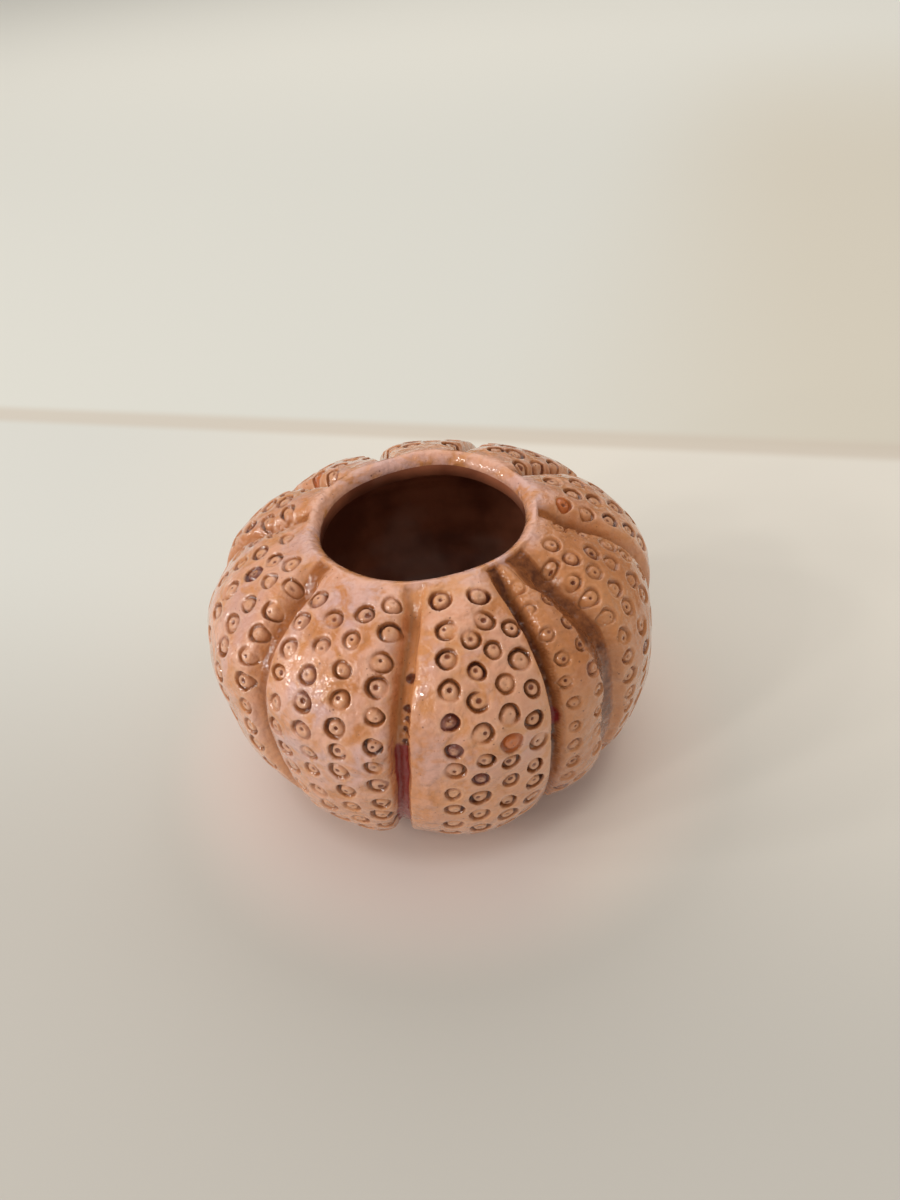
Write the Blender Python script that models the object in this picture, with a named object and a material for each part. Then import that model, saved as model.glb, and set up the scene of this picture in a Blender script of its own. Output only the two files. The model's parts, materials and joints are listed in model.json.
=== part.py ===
"""Sea urchin vase: a small handmade pottery vessel shaped like an urchin's test.

The body is one fired piece.  Hand-cut meridian grooves part it into plump lobes of
unlike width, and every lobe carries columns of stamped rings: a round groove pressed
into the clay, with an island of the old surface left standing in its middle.  The mouth is
wide with a rolled lip, the inside is hollow, and the underside is a flat foot ring round
a shallow recess.  Felt pads are stuck to the foot ring to spare the furniture.

Metres, +Z up, origin on the ground under the middle of the vase, front towards -Y.
"""

import bmesh
import bpy
import math
import random

import numpy as np
from mathutils import Vector, geometry

MM = 0.001

# Body, outside
BELLY_RADIUS = 45.0 * MM
BELLY_ABOVE_FOOT = 33.0 * MM
SHOULDER_RISE = 24.8 * MM
SHOULDER_SQUARENESS = 2.5
BOWL_RUNOUT = 3.8 * MM
BOWL_SQUARENESS = 2.8
MOUTH_RADIUS = 19.6 * MM
LIP_ROUND = 2.2 * MM
FOOT_ROUND = 2.0 * MM
FOOT_RING_WIDTH = 8.0 * MM
FOOT_RECESS = 2.0 * MM

# Body, inside
BELLY_WALL = 7.0 * MM
SHOULDER_WALL = 4.6 * MM
FLOOR_THICKNESS = 6.0 * MM
FLOOR_RADIUS = 20.0 * MM
HOLLOW_SQUARENESS = 2.4

# Hand cut grooves and the lobes between them
GROOVE_FLOOR = 1.0 * MM
GROOVE_WALL = 1.0 * MM
GROOVE_DEPTH = 2.5 * MM
GROOVE_WANDER = 0.35 * MM
GROOVE_FADE_AT_FOOT = 3.0 * MM
GROOVE_FADE_AT_LIP = 7.0 * MM
LOBE_CROWN = 1.5 * MM
LOBE_SET_BACK = 1.0 * MM
LOBE_MARGIN = 5.0 * MM
LUMP = 0.16 * MM
HAND_SQUEEZE = 0.35 * MM
LIP_WAVE = 0.45 * MM

# Each groove: azimuth at the lip from the front towards +X, lean and bow on the way to the
# foot, then half the floor, the wall and the depth as shares, and what is left at the foot
GROOVES = (
    (-55.0, 16.0, 0.0, 1.2, 2.2, 0.88, 0.6),
    (-6.0, -12.0, 1.0, 1.05, 0.95, 1.08, 0.4),
    (31.5, -3.0, -3.5, 0.7, 1.1, 1.0, 0.6),
    (45.5, 1.5, 0.0, 2.4, 1.5, 0.76, 0.6),
    (83.0, 0.0, 0.0, 0.9, 1.5, 1.0, 0.6),
    (121.0, -3.0, 1.0, 1.2, 1.5, 1.0, 0.6),
    (157.0, 4.0, -1.0, 0.9, 1.5, 1.0, 0.6),
    (196.0, 0.0, 0.0, 0.9, 1.5, 1.0, 0.6),
    (228.0, 4.0, 1.0, 1.4, 1.5, 1.0, 0.6),
    (258.0, 3.0, 0.0, 0.9, 1.5, 1.0, 0.6),
)
SEAM_INDEX = 7

# Each lobe, right of the groove of its number: columns of rings, bare margins left and
# right, pitch, start of the first column, set-back, depth and size of its rings
LOBES = (
    (4, 1.18, 0.86, 1.03, 0.82, 0.0, 0.78, 1.0),
    (4, 1.88, 1.0, 1.06, 0.8, 0.0, 0.95, 1.0),
    (3, 0.7, 0.96, 1.0, 0.2, 0.9, 0.45, 0.82),
    (4, 1.12, 1.0, 0.96, 0.6, 0.5, 0.5, 0.95),
    (4, 1.08, 0.96, 1.0, 0.3, 0.0, 0.7, 1.0),
    (4, 0.92, 1.08, 0.98, 0.7, 0.0, 0.85, 1.0),
    (4, 1.2, 1.0, 1.02, 0.0, 0.0, 0.7, 1.0),
    (4, 0.96, 1.12, 0.96, 0.5, 0.0, 0.8, 1.0),
    (3, 1.1, 1.0, 1.0, 0.2, 0.0, 0.7, 1.0),
    (5, 1.04, 0.96, 1.02, 0.8, 0.0, 0.6, 1.0),
)

# Stamped rings
RING_RADIUS = 2.08 * MM
RING_EDGE = 0.94
RING_GROOVE = 0.74
RING_DEPTH = 0.72 * MM
ISLAND_RISE = 0.1 * MM
RING_PITCH = 5.0 * MM
RING_WANDER = 0.5 * MM
RINGS_APART = 4.0 * MM
STAMP_START_ABOVE_FOOT = 9.5 * MM
STAMP_END_BELOW_LIP = 3.5 * MM
HAND_SEED = 23

# Felt pads
PAD_COUNT = 4
PAD_RADIUS = 3.5 * MM
PAD_THICKNESS = 1.2 * MM
PAD_CORNER = 0.3 * MM
PAD_GLUE_GAP = 0.3 * MM

# Facets
ROUND_SEGMENTS = 56
HOLLOW_SEGMENTS = 30
RING_SIDES = 5
FRONT_RING_SIDES = 6
FRONT_LOBES = (0, 1)
PAD_SEGMENTS = 16
PROFILE_STEPS = 400
LIP_STEPS = 4
FOOT_STEPS = 12
WALL_STEPS = 4
GROOVE_STEP = 7.6 * MM

FOOT_HEIGHT = PAD_THICKNESS + PAD_GLUE_GAP
BELLY_HEIGHT = FOOT_HEIGHT + BELLY_ABOVE_FOOT
BOWL_DEPTH = BELLY_ABOVE_FOOT + BOWL_RUNOUT
TAU = 2.0 * math.pi


def ease(share):
    """Ease a share between 0 and 1, flat at both ends."""
    held = min(max(share, 0.0), 1.0)
    return held * held * (3.0 - 2.0 * held)


def clear_scene():
    """Remove whatever the file starts with."""
    for thing in list(bpy.data.objects):
        bpy.data.objects.remove(thing, do_unlink=True)


def make_material(name, colour, roughness, metallic=0.0):
    """A plain Principled material."""
    material = bpy.data.materials.new(name)
    material.use_nodes = True
    shader = material.node_tree.nodes["Principled BSDF"]
    shader.inputs["Base Color"].default_value = (*colour, 1.0)
    shader.inputs["Roughness"].default_value = roughness
    shader.inputs["Metallic"].default_value = metallic
    return material


def shoulder_point(radius):
    """Height above the belly level and outward normal on the shoulder at a radius."""
    power = SHOULDER_SQUARENESS
    rise = SHOULDER_RISE * (1.0 - (radius / BELLY_RADIUS) ** power) ** (1.0 / power)
    across = radius ** (power - 1.0) / BELLY_RADIUS ** power
    upward = rise ** (power - 1.0) / SHOULDER_RISE ** power
    size = math.hypot(across, upward)
    return rise, across / size, upward / size


def bowl_point(drop):
    """Radius and outward normal on the bowl at a drop below the belly level."""
    power = BOWL_SQUARENESS
    radius = BELLY_RADIUS * (1.0 - (drop / BOWL_DEPTH) ** power) ** (1.0 / power)
    across = radius ** (power - 1.0) / BELLY_RADIUS ** power
    downward = drop ** (power - 1.0) / BOWL_DEPTH ** power
    size = math.hypot(across, downward)
    return radius, across / size, downward / size


def solve(low, high, miss):
    """The value between low and high where miss turns from negative to positive."""
    for _ in range(60):
        middle = 0.5 * (low + high)
        if miss(middle) < 0.0:
            low = middle
        else:
            high = middle
    return 0.5 * (low + high)


def lip_start():
    """Radius where the shoulder passes tangent into the rolled lip."""
    def miss(radius):
        _, across, _ = shoulder_point(radius)
        return radius - LIP_ROUND * across - LIP_ROUND - MOUTH_RADIUS
    return solve(MOUTH_RADIUS, BELLY_RADIUS * 0.999, miss)


def foot_start():
    """Drop where the bowl passes tangent into the rounding of the foot."""
    def miss(drop):
        _, _, downward = bowl_point(drop)
        return drop - FOOT_ROUND * downward + FOOT_ROUND - BELLY_ABOVE_FOOT
    return solve(0.0, BELLY_ABOVE_FOOT, miss)


def outer_profile():
    """Radius and height from the foot ring's outer edge up to the start of the lip."""
    drop = foot_start()
    radius, across, downward = bowl_point(drop)
    centre_radius = radius - FOOT_ROUND * across
    centre_height = -drop + FOOT_ROUND * downward
    points = []
    last_angle = math.atan2(across, downward)
    for step in range(FOOT_STEPS):
        angle = last_angle * step / FOOT_STEPS
        points.append((centre_radius + FOOT_ROUND * math.sin(angle),
                       centre_height - FOOT_ROUND * math.cos(angle)))
    for step in range(PROFILE_STEPS):
        level = -drop * (1.0 - step / PROFILE_STEPS)
        points.append((bowl_point(-level)[0], level))
    start = lip_start()
    for step in range(PROFILE_STEPS + 1):
        turn = 0.5 * math.pi * step / PROFILE_STEPS
        along = start + (BELLY_RADIUS - start) * math.cos(turn)
        points.append((along, shoulder_point(min(along, BELLY_RADIUS))[0]))
    return [(radius, BELLY_HEIGHT + height) for radius, height in points]


class Shell:
    """The outside of the body, read by azimuth and by the length run up its profile."""

    def __init__(self):
        profile = np.array(outer_profile())
        steps = np.hypot(*np.diff(profile, axis=0).T)
        self.run = np.concatenate(([0.0], np.cumsum(steps)))
        self.radius = profile[:, 0]
        self.height = profile[:, 1]
        middle = 0.5 * (self.radius[1:] + self.radius[:-1])
        self.flat = np.concatenate(([0.0], np.cumsum(steps / middle)))
        slope_r = np.gradient(self.radius, self.run)
        slope_z = np.gradient(self.height, self.run)
        size = np.hypot(slope_r, slope_z)
        self.normal_r = slope_z / size
        self.normal_z = -slope_r / size
        self.length = float(self.run[-1])

    def read(self, values, run):
        """One of the profile's rows at a run."""
        return float(np.interp(run, self.run, values))

    def groove_azimuth(self, number, run):
        """A groove's azimuth at a run, in radians, going on past the last to the first."""
        turns, index = divmod(number, len(GROOVES))
        azimuth, lean, bow = GROOVES[index][:3]
        share = 1.0 - run / self.length
        drawn = azimuth + lean * share + 4.0 * bow * share * (1.0 - share)
        sway = 0.0 if index == SEAM_INDEX else GROOVE_WANDER / BELLY_RADIUS
        return math.radians(drawn) + sway * math.sin(TAU * 1.4 * share + 2.3 * index) + TAU * turns

    def relief(self, azimuth, run):
        """How far the grooves, the lobes' rounding and the hand sink the surface."""
        first = self.groove_azimuth(0, run)
        turned = first + (azimuth - first + 1e-9) % TAU
        number = 0
        while turned > self.groove_azimuth(number + 1, run):
            number += 1
        radius = self.read(self.radius, run)
        left, right = self.groove_azimuth(number, run), self.groove_azimuth(number + 1, run)
        to_left, to_right = (turned - left) * radius, (right - turned) * radius
        near = min(to_left, to_right) / (0.5 * (right - left) * radius)
        set_back = LOBES[number][5]
        depth = LOBE_CROWN * (1.0 - min(near, 1.0)) ** 2.2 + LOBE_SET_BACK * set_back
        share = run / self.length
        for away, index, beside in ((to_left, number, number - 1), (to_right, number + 1, number + 1)):
            floor, wall, deep, at_foot = GROOVES[index % len(GROOVES)][3:]
            floor, wall = floor * GROOVE_FLOOR, wall * GROOVE_WALL
            cut = 1.0 - ease((away - floor) / wall)
            blend = 0.5 * (1.0 - ease(away / (floor + 0.6 * wall)))
            drawn = GROOVE_DEPTH * deep * (1.0 - (1.0 - at_foot) * (1.0 - share) ** 1.5)
            depth += drawn * cut + blend * LOBE_SET_BACK * (LOBES[beside % len(LOBES)][5] - set_back)
        depth += LUMP * (math.sin(9.0 * azimuth + 14.6 * share)
                         + math.sin(14.0 * azimuth - 20.3 * share + 1.3))
        at_lip = 0.25 + 0.75 * ease((self.length - run) / GROOVE_FADE_AT_LIP)
        return depth * ease(run / GROOVE_FADE_AT_FOOT) * at_lip

    def point(self, azimuth, run, sink=0.0):
        """A point of the surface, sunk a little further where a stamp asks for it."""
        depth = self.relief(azimuth, run) + sink
        radius = self.read(self.radius, run) - depth * self.read(self.normal_r, run)
        height = self.read(self.height, run) - depth * self.read(self.normal_z, run)
        return Vector((radius * math.sin(azimuth), -radius * math.cos(azimuth), height))


class Ring:
    """One stamped ring: an oval on the unrolled surface."""

    def __init__(self, azimuth, run, radius, size, depth, oval, turn, sides):
        self.azimuth, self.run, self.around = azimuth, run, radius
        self.size, self.depth, self.oval, self.turn, self.sides = size, depth, oval, turn, sides

    def place(self, share, angle):
        """Azimuth and run on the ring's oval at a share of its size."""
        along = share * self.size * math.cos(angle)
        across = share * self.size * self.oval * math.sin(angle)
        x = along * math.cos(self.turn) - across * math.sin(self.turn)
        y = along * math.sin(self.turn) + across * math.cos(self.turn)
        return self.azimuth + x / self.around, self.run + y

    def out(self, azimuth, run):
        """How far out a place lies in the oval, 1 at its edge."""
        x = ((azimuth - self.azimuth + math.pi) % TAU - math.pi) * self.around
        y = run - self.run
        along = x * math.cos(self.turn) + y * math.sin(self.turn)
        across = (y * math.cos(self.turn) - x * math.sin(self.turn)) / self.oval
        return math.hypot(along, across) / self.size


def apart(shell, one, two):
    """Distance over the surface between the middles of two rings near each other."""
    radius = shell.read(shell.radius, 0.5 * (one.run + two.run))
    turn = (one.azimuth - two.azimuth + math.pi) % TAU - math.pi
    return math.hypot(turn * radius, one.run - two.run)


def stamp_rings(shell):
    """Every stamped ring, column by column and lobe by lobe."""
    hand = random.Random(HAND_SEED)
    belly_run = float(shell.run[int(shell.radius.argmax())])
    seam = shell.groove_azimuth(SEAM_INDEX, 0.0) - TAU
    rings = []
    for number, row in enumerate(LOBES):
        columns, left_margin, right_margin, pitch, phase, _, boldness, scale = row
        left, right = (shell.groove_azimuth(number + side, belly_run) for side in (0, 1))
        width = (right - left) * BELLY_RADIUS
        sides = FRONT_RING_SIDES if number in FRONT_LOBES else RING_SIDES
        gap = (width - LOBE_MARGIN * (left_margin + right_margin)) / (columns - 1)
        for column in range(columns):
            share = (LOBE_MARGIN * left_margin + gap * column) / width
            run = STAMP_START_ABOVE_FOOT + pitch * RING_PITCH * ((phase + 0.46 * column) % 1.0)
            while run < shell.length - STAMP_END_BELOW_LIP:
                place = run + hand.uniform(-RING_WANDER, RING_WANDER)
                left, right = (shell.groove_azimuth(number + side, place) for side in (0, 1))
                radius = shell.read(shell.radius, place)
                azimuth = left + share * (right - left) + hand.uniform(-RING_WANDER, RING_WANDER) / radius
                if azimuth > seam + TAU:
                    azimuth -= TAU
                size = RING_RADIUS * scale * hand.uniform(0.88, 1.08)
                oval, turn = hand.uniform(0.84, 1.0), hand.uniform(0.0, math.pi)
                depth = RING_DEPTH * (0.75 + 0.5 * boldness)
                ring = Ring(azimuth, place, radius, size, depth, oval, turn, sides)
                if all(apart(shell, ring, other) > RINGS_APART for other in rings[-60:]):
                    rings.append(ring)
                run += pitch * RING_PITCH
    return rings


def outer_facets(shell):
    """Vertices and triangles of the outside, with the seam's two sides joined."""
    seam = shell.groove_azimuth(SEAM_INDEX, 0.0) - TAU
    flat, places, edges = [], [], []

    def put(azimuth, run, sink=0.0):
        flat.append(Vector((azimuth, shell.read(shell.flat, run))))
        places.append(shell.point(azimuth, run, sink))
        return len(flat) - 1

    def chain(indices):
        edges.extend(zip(indices, indices[1:]))

    rims = []
    for run in (0.0, shell.length):
        rim = [put(seam + TAU * step / ROUND_SEGMENTS, run) for step in range(ROUND_SEGMENTS + 1)]
        chain(rim)
        rims.append(rim)
    steps = max(2, round(shell.length / GROOVE_STEP))
    runs = [shell.length * step / steps for step in range(1, steps)]
    left_seam = [put(seam, run) for run in runs]
    right_seam = [put(seam + TAU, run) for run in runs]
    for side, end in ((left_seam, 0), (right_seam, -1)):
        chain([rims[0][end]] + side + [rims[1][end]])
    for number, row in enumerate(GROOVES):
        floor, wall = row[3] * GROOVE_FLOOR, row[4] * GROOVE_WALL
        for offset in (-floor - wall, -floor, floor, floor + wall):
            line = []
            for run in runs:
                azimuth = shell.groove_azimuth(number, run) + offset / shell.read(shell.radius, run)
                line.append(put(seam + (azimuth - seam) % TAU, run))
            chain(line)
    rings = stamp_rings(shell)
    for ring in rings:
        near = [other for other in rings if other is not ring and apart(shell, ring, other) < 2.5 * RING_RADIUS]
        for share, sink in ((RING_EDGE, 0.0), (RING_GROOVE, ring.depth), (0.0, -ISLAND_RISE)):
            for side in range(ring.sides if share else 1):
                azimuth, run = ring.place(share, TAU * side / ring.sides)
                if all(other.out(azimuth, run) > share + 0.02 for other in near):
                    put(azimuth, run, sink)
    found = geometry.delaunay_2d_cdt(flat, edges, [], 0, 1e-7)
    origin = [sources[0] for sources in found[3]]
    joined = dict(zip([rims[0][-1], rims[1][-1]] + right_seam,
                      [rims[0][0], rims[1][0]] + left_seam))
    triangles = []
    for face in found[2]:
        triangles.append([joined.get(origin[corner], origin[corner]) for corner in face])
    return places, triangles, rims[0][:-1], rims[1][:-1]


def shape_by_hand(point):
    """Squeeze a point a little out of round, with the foot left flat and the lip wavy."""
    radius, turn = math.hypot(point.x, point.y), math.atan2(point.x, -point.y)
    up = ease((point.z - FOOT_HEIGHT) / (2.0 * BELLY_ABOVE_FOOT))
    squeeze = math.sin(2.0 * turn + 4.36) + 0.6 * math.sin(3.0 * turn + 5.8 + 2.0 * up)
    radius += HAND_SQUEEZE * squeeze * radius / BELLY_RADIUS * ease(2.0 * up)
    lift = LIP_WAVE * up ** 2 * (math.sin(2.0 * turn + 1.9) + 0.5 * math.sin(5.0 * turn))
    return Vector((radius * math.sin(turn), -radius * math.cos(turn), point.z + lift))


def ring_points(radius, height, segments, start):
    """One level circle of points."""
    return [Vector((radius * math.sin(start + TAU * step / segments),
                    -radius * math.cos(start + TAU * step / segments), height))
            for step in range(segments)]


def lip_profile():
    """Radius and height over the rolled lip, from the shoulder to the mouth's wall."""
    start = lip_start()
    rise, across, upward = shoulder_point(start)
    centre = (start - LIP_ROUND * across, rise - LIP_ROUND * upward)
    first = math.atan2(upward, across)
    points = []
    for step in range(1, LIP_STEPS + 1):
        angle = first + (math.pi - first) * step / LIP_STEPS
        points.append((centre[0] + LIP_ROUND * math.cos(angle),
                       BELLY_HEIGHT + centre[1] + LIP_ROUND * math.sin(angle)))
    return points


def hollow_profile():
    """Radius and height down the inside, from under the lip to the edge of the floor."""
    power = HOLLOW_SQUARENESS
    widest = BELLY_RADIUS - BELLY_WALL
    roof = SHOULDER_RISE - SHOULDER_WALL
    floor_drop = BELLY_ABOVE_FOOT - FLOOR_THICKNESS
    last = math.acos((FLOOR_RADIUS / widest) ** (power / 2.0))
    bowl = floor_drop / math.sin(last) ** (2.0 / power)
    points = []
    first = math.acos((MOUTH_RADIUS / widest) ** (power / 2.0))
    for step in range(WALL_STEPS):
        turn = first * (1.0 - step / WALL_STEPS)
        points.append((widest * math.cos(turn) ** (2.0 / power),
                       roof * math.sin(turn) ** (2.0 / power)))
    for step in range(WALL_STEPS + 1):
        turn = last * step / WALL_STEPS
        points.append((widest * math.cos(turn) ** (2.0 / power),
                       -bowl * math.sin(turn) ** (2.0 / power)))
    return [(radius, BELLY_HEIGHT + height) for radius, height in points]


def stitch(mesh, lower, upper):
    """Triangles between two loops of unlike count that start at one azimuth."""
    low, up = 0, 0
    while low < len(lower) or up < len(upper):
        if up == len(upper) or (low < len(lower) and
                                (low + 1) * len(upper) <= (up + 1) * len(lower)):
            mesh.faces.new((lower[low % len(lower)], lower[(low + 1) % len(lower)],
                            upper[up % len(upper)]))
            low += 1
        else:
            mesh.faces.new((lower[low % len(lower)], upper[(up + 1) % len(upper)],
                            upper[up % len(upper)]))
            up += 1


def fan(mesh, loop, height, upward):
    """Close a loop with triangles to its middle."""
    hub = mesh.verts.new((0.0, 0.0, height))
    for one, two in zip(loop, loop[1:] + loop[:1]):
        mesh.faces.new((one, two, hub) if upward else (two, one, hub))


def build_body(material):
    """The fired body: outside, lip, hollow and foot as one closed shell."""
    shell = Shell()
    places, triangles, foot_rim, lip_rim = outer_facets(shell)
    seam = shell.groove_azimuth(SEAM_INDEX, 0.0) - TAU
    mesh = bmesh.new()
    corners = {}
    for triangle in triangles:
        for corner in triangle:
            if corner not in corners:
                corners[corner] = mesh.verts.new(places[corner])
    for triangle in triangles:
        mesh.faces.new([corners[corner] for corner in triangle])

    last = [corners[corner] for corner in lip_rim]
    for radius, height in lip_profile():
        loop = [mesh.verts.new(point) for point in ring_points(radius, height, ROUND_SEGMENTS, seam)]
        stitch(mesh, last, loop)
        last = loop
    hollow = hollow_profile()
    for radius, height in hollow:
        loop = [mesh.verts.new(point) for point in ring_points(radius, height, HOLLOW_SEGMENTS, seam)]
        stitch(mesh, last, loop)
        last = loop
    fan(mesh, last, hollow[-1][1], True)

    inner_radius = shell.radius[0] - FOOT_RING_WIDTH
    last = [corners[corner] for corner in foot_rim]
    for radius, height in ((inner_radius, FOOT_HEIGHT),
                           (inner_radius - FOOT_RECESS, FOOT_HEIGHT + FOOT_RECESS)):
        loop = [mesh.verts.new(point) for point in ring_points(radius, height, HOLLOW_SEGMENTS, seam)]
        stitch(mesh, loop, last)
        last = loop
    fan(mesh, last, FOOT_HEIGHT + FOOT_RECESS, False)

    for corner in mesh.verts:
        corner.co = shape_by_hand(corner.co)
    data = bpy.data.meshes.new("vase_body")
    mesh.to_mesh(data)
    mesh.free()
    data.shade_smooth()
    data.set_sharp_from_angle(angle=math.radians(28.0))
    data.materials.append(material)
    body = bpy.data.objects.new("vase_body", data)
    bpy.context.collection.objects.link(body)
    return shell


def build_pads(shell, material):
    """Round felt pads, spaced evenly along the middle of the foot ring."""
    path_radius = shell.radius[0] - 0.5 * FOOT_RING_WIDTH
    for number in range(PAD_COUNT):
        azimuth = TAU * (number + 0.5) / PAD_COUNT
        mesh = bmesh.new()
        bmesh.ops.create_cone(mesh, cap_ends=True, segments=PAD_SEGMENTS, radius1=PAD_RADIUS,
                              radius2=PAD_RADIUS, depth=PAD_THICKNESS)
        rim = [edge for edge in mesh.edges if abs(edge.verts[0].co.z - edge.verts[1].co.z) < PAD_CORNER]
        bmesh.ops.bevel(mesh, geom=rim, offset=PAD_CORNER, segments=1, affect="EDGES")
        data = bpy.data.meshes.new("foot_pad")
        mesh.to_mesh(data)
        mesh.free()
        data.shade_smooth()
        data.set_sharp_from_angle(angle=math.radians(35.0))
        data.materials.append(material)
        pad = bpy.data.objects.new("foot_pad_%d" % (number + 1), data)
        pad.location = (path_radius * math.sin(azimuth), -path_radius * math.cos(azimuth),
                        0.5 * PAD_THICKNESS)
        bpy.context.collection.objects.link(pad)


def build_vase():
    """Build the whole vase."""
    clear_scene()
    glaze = make_material("peach_glaze", (0.72, 0.42, 0.27), 0.22)
    felt = make_material("brown_felt", (0.16, 0.10, 0.07), 0.95)
    shell = build_body(glaze)
    build_pads(shell, felt)


build_vase()
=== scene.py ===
import json
import logging
import math
import random
from collections.abc import Callable, Iterable
from dataclasses import dataclass, field
from enum import Enum, IntEnum

import bpy
import numpy as np
from mathutils import Matrix, Vector, geometry

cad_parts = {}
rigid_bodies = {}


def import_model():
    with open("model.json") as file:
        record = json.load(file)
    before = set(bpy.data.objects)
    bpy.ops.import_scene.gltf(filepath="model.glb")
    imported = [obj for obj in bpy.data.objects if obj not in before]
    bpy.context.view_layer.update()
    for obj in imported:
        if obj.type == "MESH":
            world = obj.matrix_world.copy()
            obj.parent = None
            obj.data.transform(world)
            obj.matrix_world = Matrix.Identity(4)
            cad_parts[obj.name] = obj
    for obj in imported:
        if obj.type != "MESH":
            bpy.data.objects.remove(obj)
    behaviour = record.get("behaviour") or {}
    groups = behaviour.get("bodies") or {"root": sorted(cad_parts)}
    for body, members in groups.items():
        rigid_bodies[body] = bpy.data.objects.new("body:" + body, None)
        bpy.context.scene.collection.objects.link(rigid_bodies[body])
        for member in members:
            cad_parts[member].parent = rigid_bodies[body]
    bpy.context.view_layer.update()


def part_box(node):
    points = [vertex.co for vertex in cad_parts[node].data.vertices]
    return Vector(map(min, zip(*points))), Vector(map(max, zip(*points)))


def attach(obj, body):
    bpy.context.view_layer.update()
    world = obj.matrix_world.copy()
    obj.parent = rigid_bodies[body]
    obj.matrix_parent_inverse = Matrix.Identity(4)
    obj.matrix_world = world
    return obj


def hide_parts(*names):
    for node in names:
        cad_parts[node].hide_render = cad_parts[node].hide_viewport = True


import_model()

LOG = logging.getLogger("sea_urchin_vase")

MM = 0.001
TAU = 2.0 * math.pi
HALVINGS = 60
Colour = tuple[float, float, float]


def linear(red: int, green: int, blue: int) -> Colour:
    """Turn a screen colour into the scene's linear light.

    Args:
        red: red from 0 to 255.
        green: green from 0 to 255.
        blue: blue from 0 to 255.

    Returns:
        The three linear values from 0 to 1.
    """
    def channel(value: int) -> float:
        """One channel by the screen's own curve."""
        share = value / 255.0
        return share / 12.92 if share <= 0.04045 else ((share + 0.055) / 1.055) ** 2.4
    return channel(red), channel(green), channel(blue)


def smooth(values: np.ndarray) -> np.ndarray:
    """Ease values between 0 and 1, flat at both ends."""
    held = np.clip(values, 0.0, 1.0)
    return held * held * (3.0 - 2.0 * held)


def wrapped(turn: np.ndarray | float) -> np.ndarray | float:
    """Bring angles to within half a turn of zero."""
    return (turn + math.pi) % TAU - math.pi


def settle(low: float, high: float, falls_short: Callable[[float], bool]) -> float:
    """Halve a range round the value where a test turns.

    Args:
        low: a value that falls short.
        high: a value that doesn't.
        falls_short: the test.

    Returns:
        The value.
    """
    for _ in range(HALVINGS):
        middle = 0.5 * (low + high)
        if falls_short(middle):
            low = middle
        else:
            high = middle
    return low


def put(name: str, data: bpy.types.ID) -> bpy.types.Object:
    """Make an object and link it to the scene.

    Args:
        name: the object's name.
        data: its mesh, lamp or lens.

    Returns:
        The object.
    """
    thing = bpy.data.objects.new(name, data)
    bpy.context.scene.collection.objects.link(thing)
    return thing


class StampGlaze(Enum):
    """How the glaze lies in one stamped ring."""

    BROWN = "brown"
    DEEP = "deep"
    PLUM = "plum"
    ROSY = "rosy"
    AMBER = "amber"


# A ring takes the first glaze whose limit its draw falls under, and brown above them all
GLAZE_LIMITS = (
    (0.026, StampGlaze.PLUM),
    (0.046, StampGlaze.AMBER),
    (0.22, StampGlaze.DEEP),
    (0.38, StampGlaze.ROSY),
)


class Coat(IntEnum):
    """The finish on a stretch of the body, by its place among the body's materials."""

    OUTSIDE = 0
    INSIDE = 1
    BARE = 2


@dataclass(frozen=True)
class Pit:
    """A hole pricked with a pin in a groove's floor."""

    above_belly: float
    aside: float
    radius: float = 0.5 * MM
    depth: float = 0.9 * MM


@dataclass(frozen=True)
class Groove:
    """A channel cut from the mouth to the foot between two lobes."""

    azimuth: float
    lean: float = 0.0
    bow: float = 0.0
    floor: float = 0.9 * MM
    wall: float = 1.5 * MM
    depth: float = 2.5 * MM
    depth_at_foot: float = 0.6
    wander: float = 0.35 * MM
    stain: float = 0.55
    left_slope: float = 0.0
    wine: tuple[float, float] | None = None
    wine_spread: float = 0.45
    pits: tuple[Pit, ...] = ()

    @property
    def reach(self) -> float:
        """Half of the width that the tool touched."""
        return self.floor + self.wall


@dataclass(frozen=True)
class Lobe:
    """The swelling between two grooves, with its columns of stamped rings."""

    columns: int = 4
    left_margin: float = 5.0 * MM
    right_margin: float = 5.0 * MM
    pitch: float = 5.3 * MM
    phase: float = 0.0
    set_back: float = 0.0
    boldness: float = 0.7
    # Pearly glaze and painted sheen, strongest on the lobes to the left.
    pearl_and_sheen: float = 0.5
    ring_scale: float = 1.0
    faintness: float = 0.0
    left_fade: float = 1.0


@dataclass
class Stamp:
    """One ring pressed into the clay, with the island and the pit inside it."""

    azimuth: float
    run: float
    radius: float
    depth: float
    tilt: float
    tilt_turn: float
    oval: float
    oval_turn: float
    pit_out: float
    pit_turn: float
    pit_radius: float
    pit_depth: float
    stain: float
    glaze: StampGlaze

    @property
    def rosiness(self) -> float:
        """How purple the glaze turned inside the ring."""
        return {StampGlaze.PLUM: 0.95, StampGlaze.ROSY: 0.5}.get(self.glaze, 0.0)

    @property
    def pit_place(self) -> tuple[float, float]:
        """Where the pit lies, round and up the body from the stamp's middle."""
        return self.pit_out * math.cos(self.pit_turn), self.pit_out * math.sin(self.pit_turn)

    def out(self, x: np.ndarray, y: np.ndarray) -> np.ndarray:
        """How far out places lie in the stamp's own oval, 1 at its edge.

        Args:
            x: lengths round the body from the stamp's middle.
            y: lengths up the body from the stamp's middle.

        Returns:
            The distances as shares of the stamp's radius.
        """
        cosine, sine = math.cos(self.oval_turn), math.sin(self.oval_turn)
        along, across = x * cosine + y * sine, (y * cosine - x * sine) / self.oval
        return np.hypot(along, across) / self.radius


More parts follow.
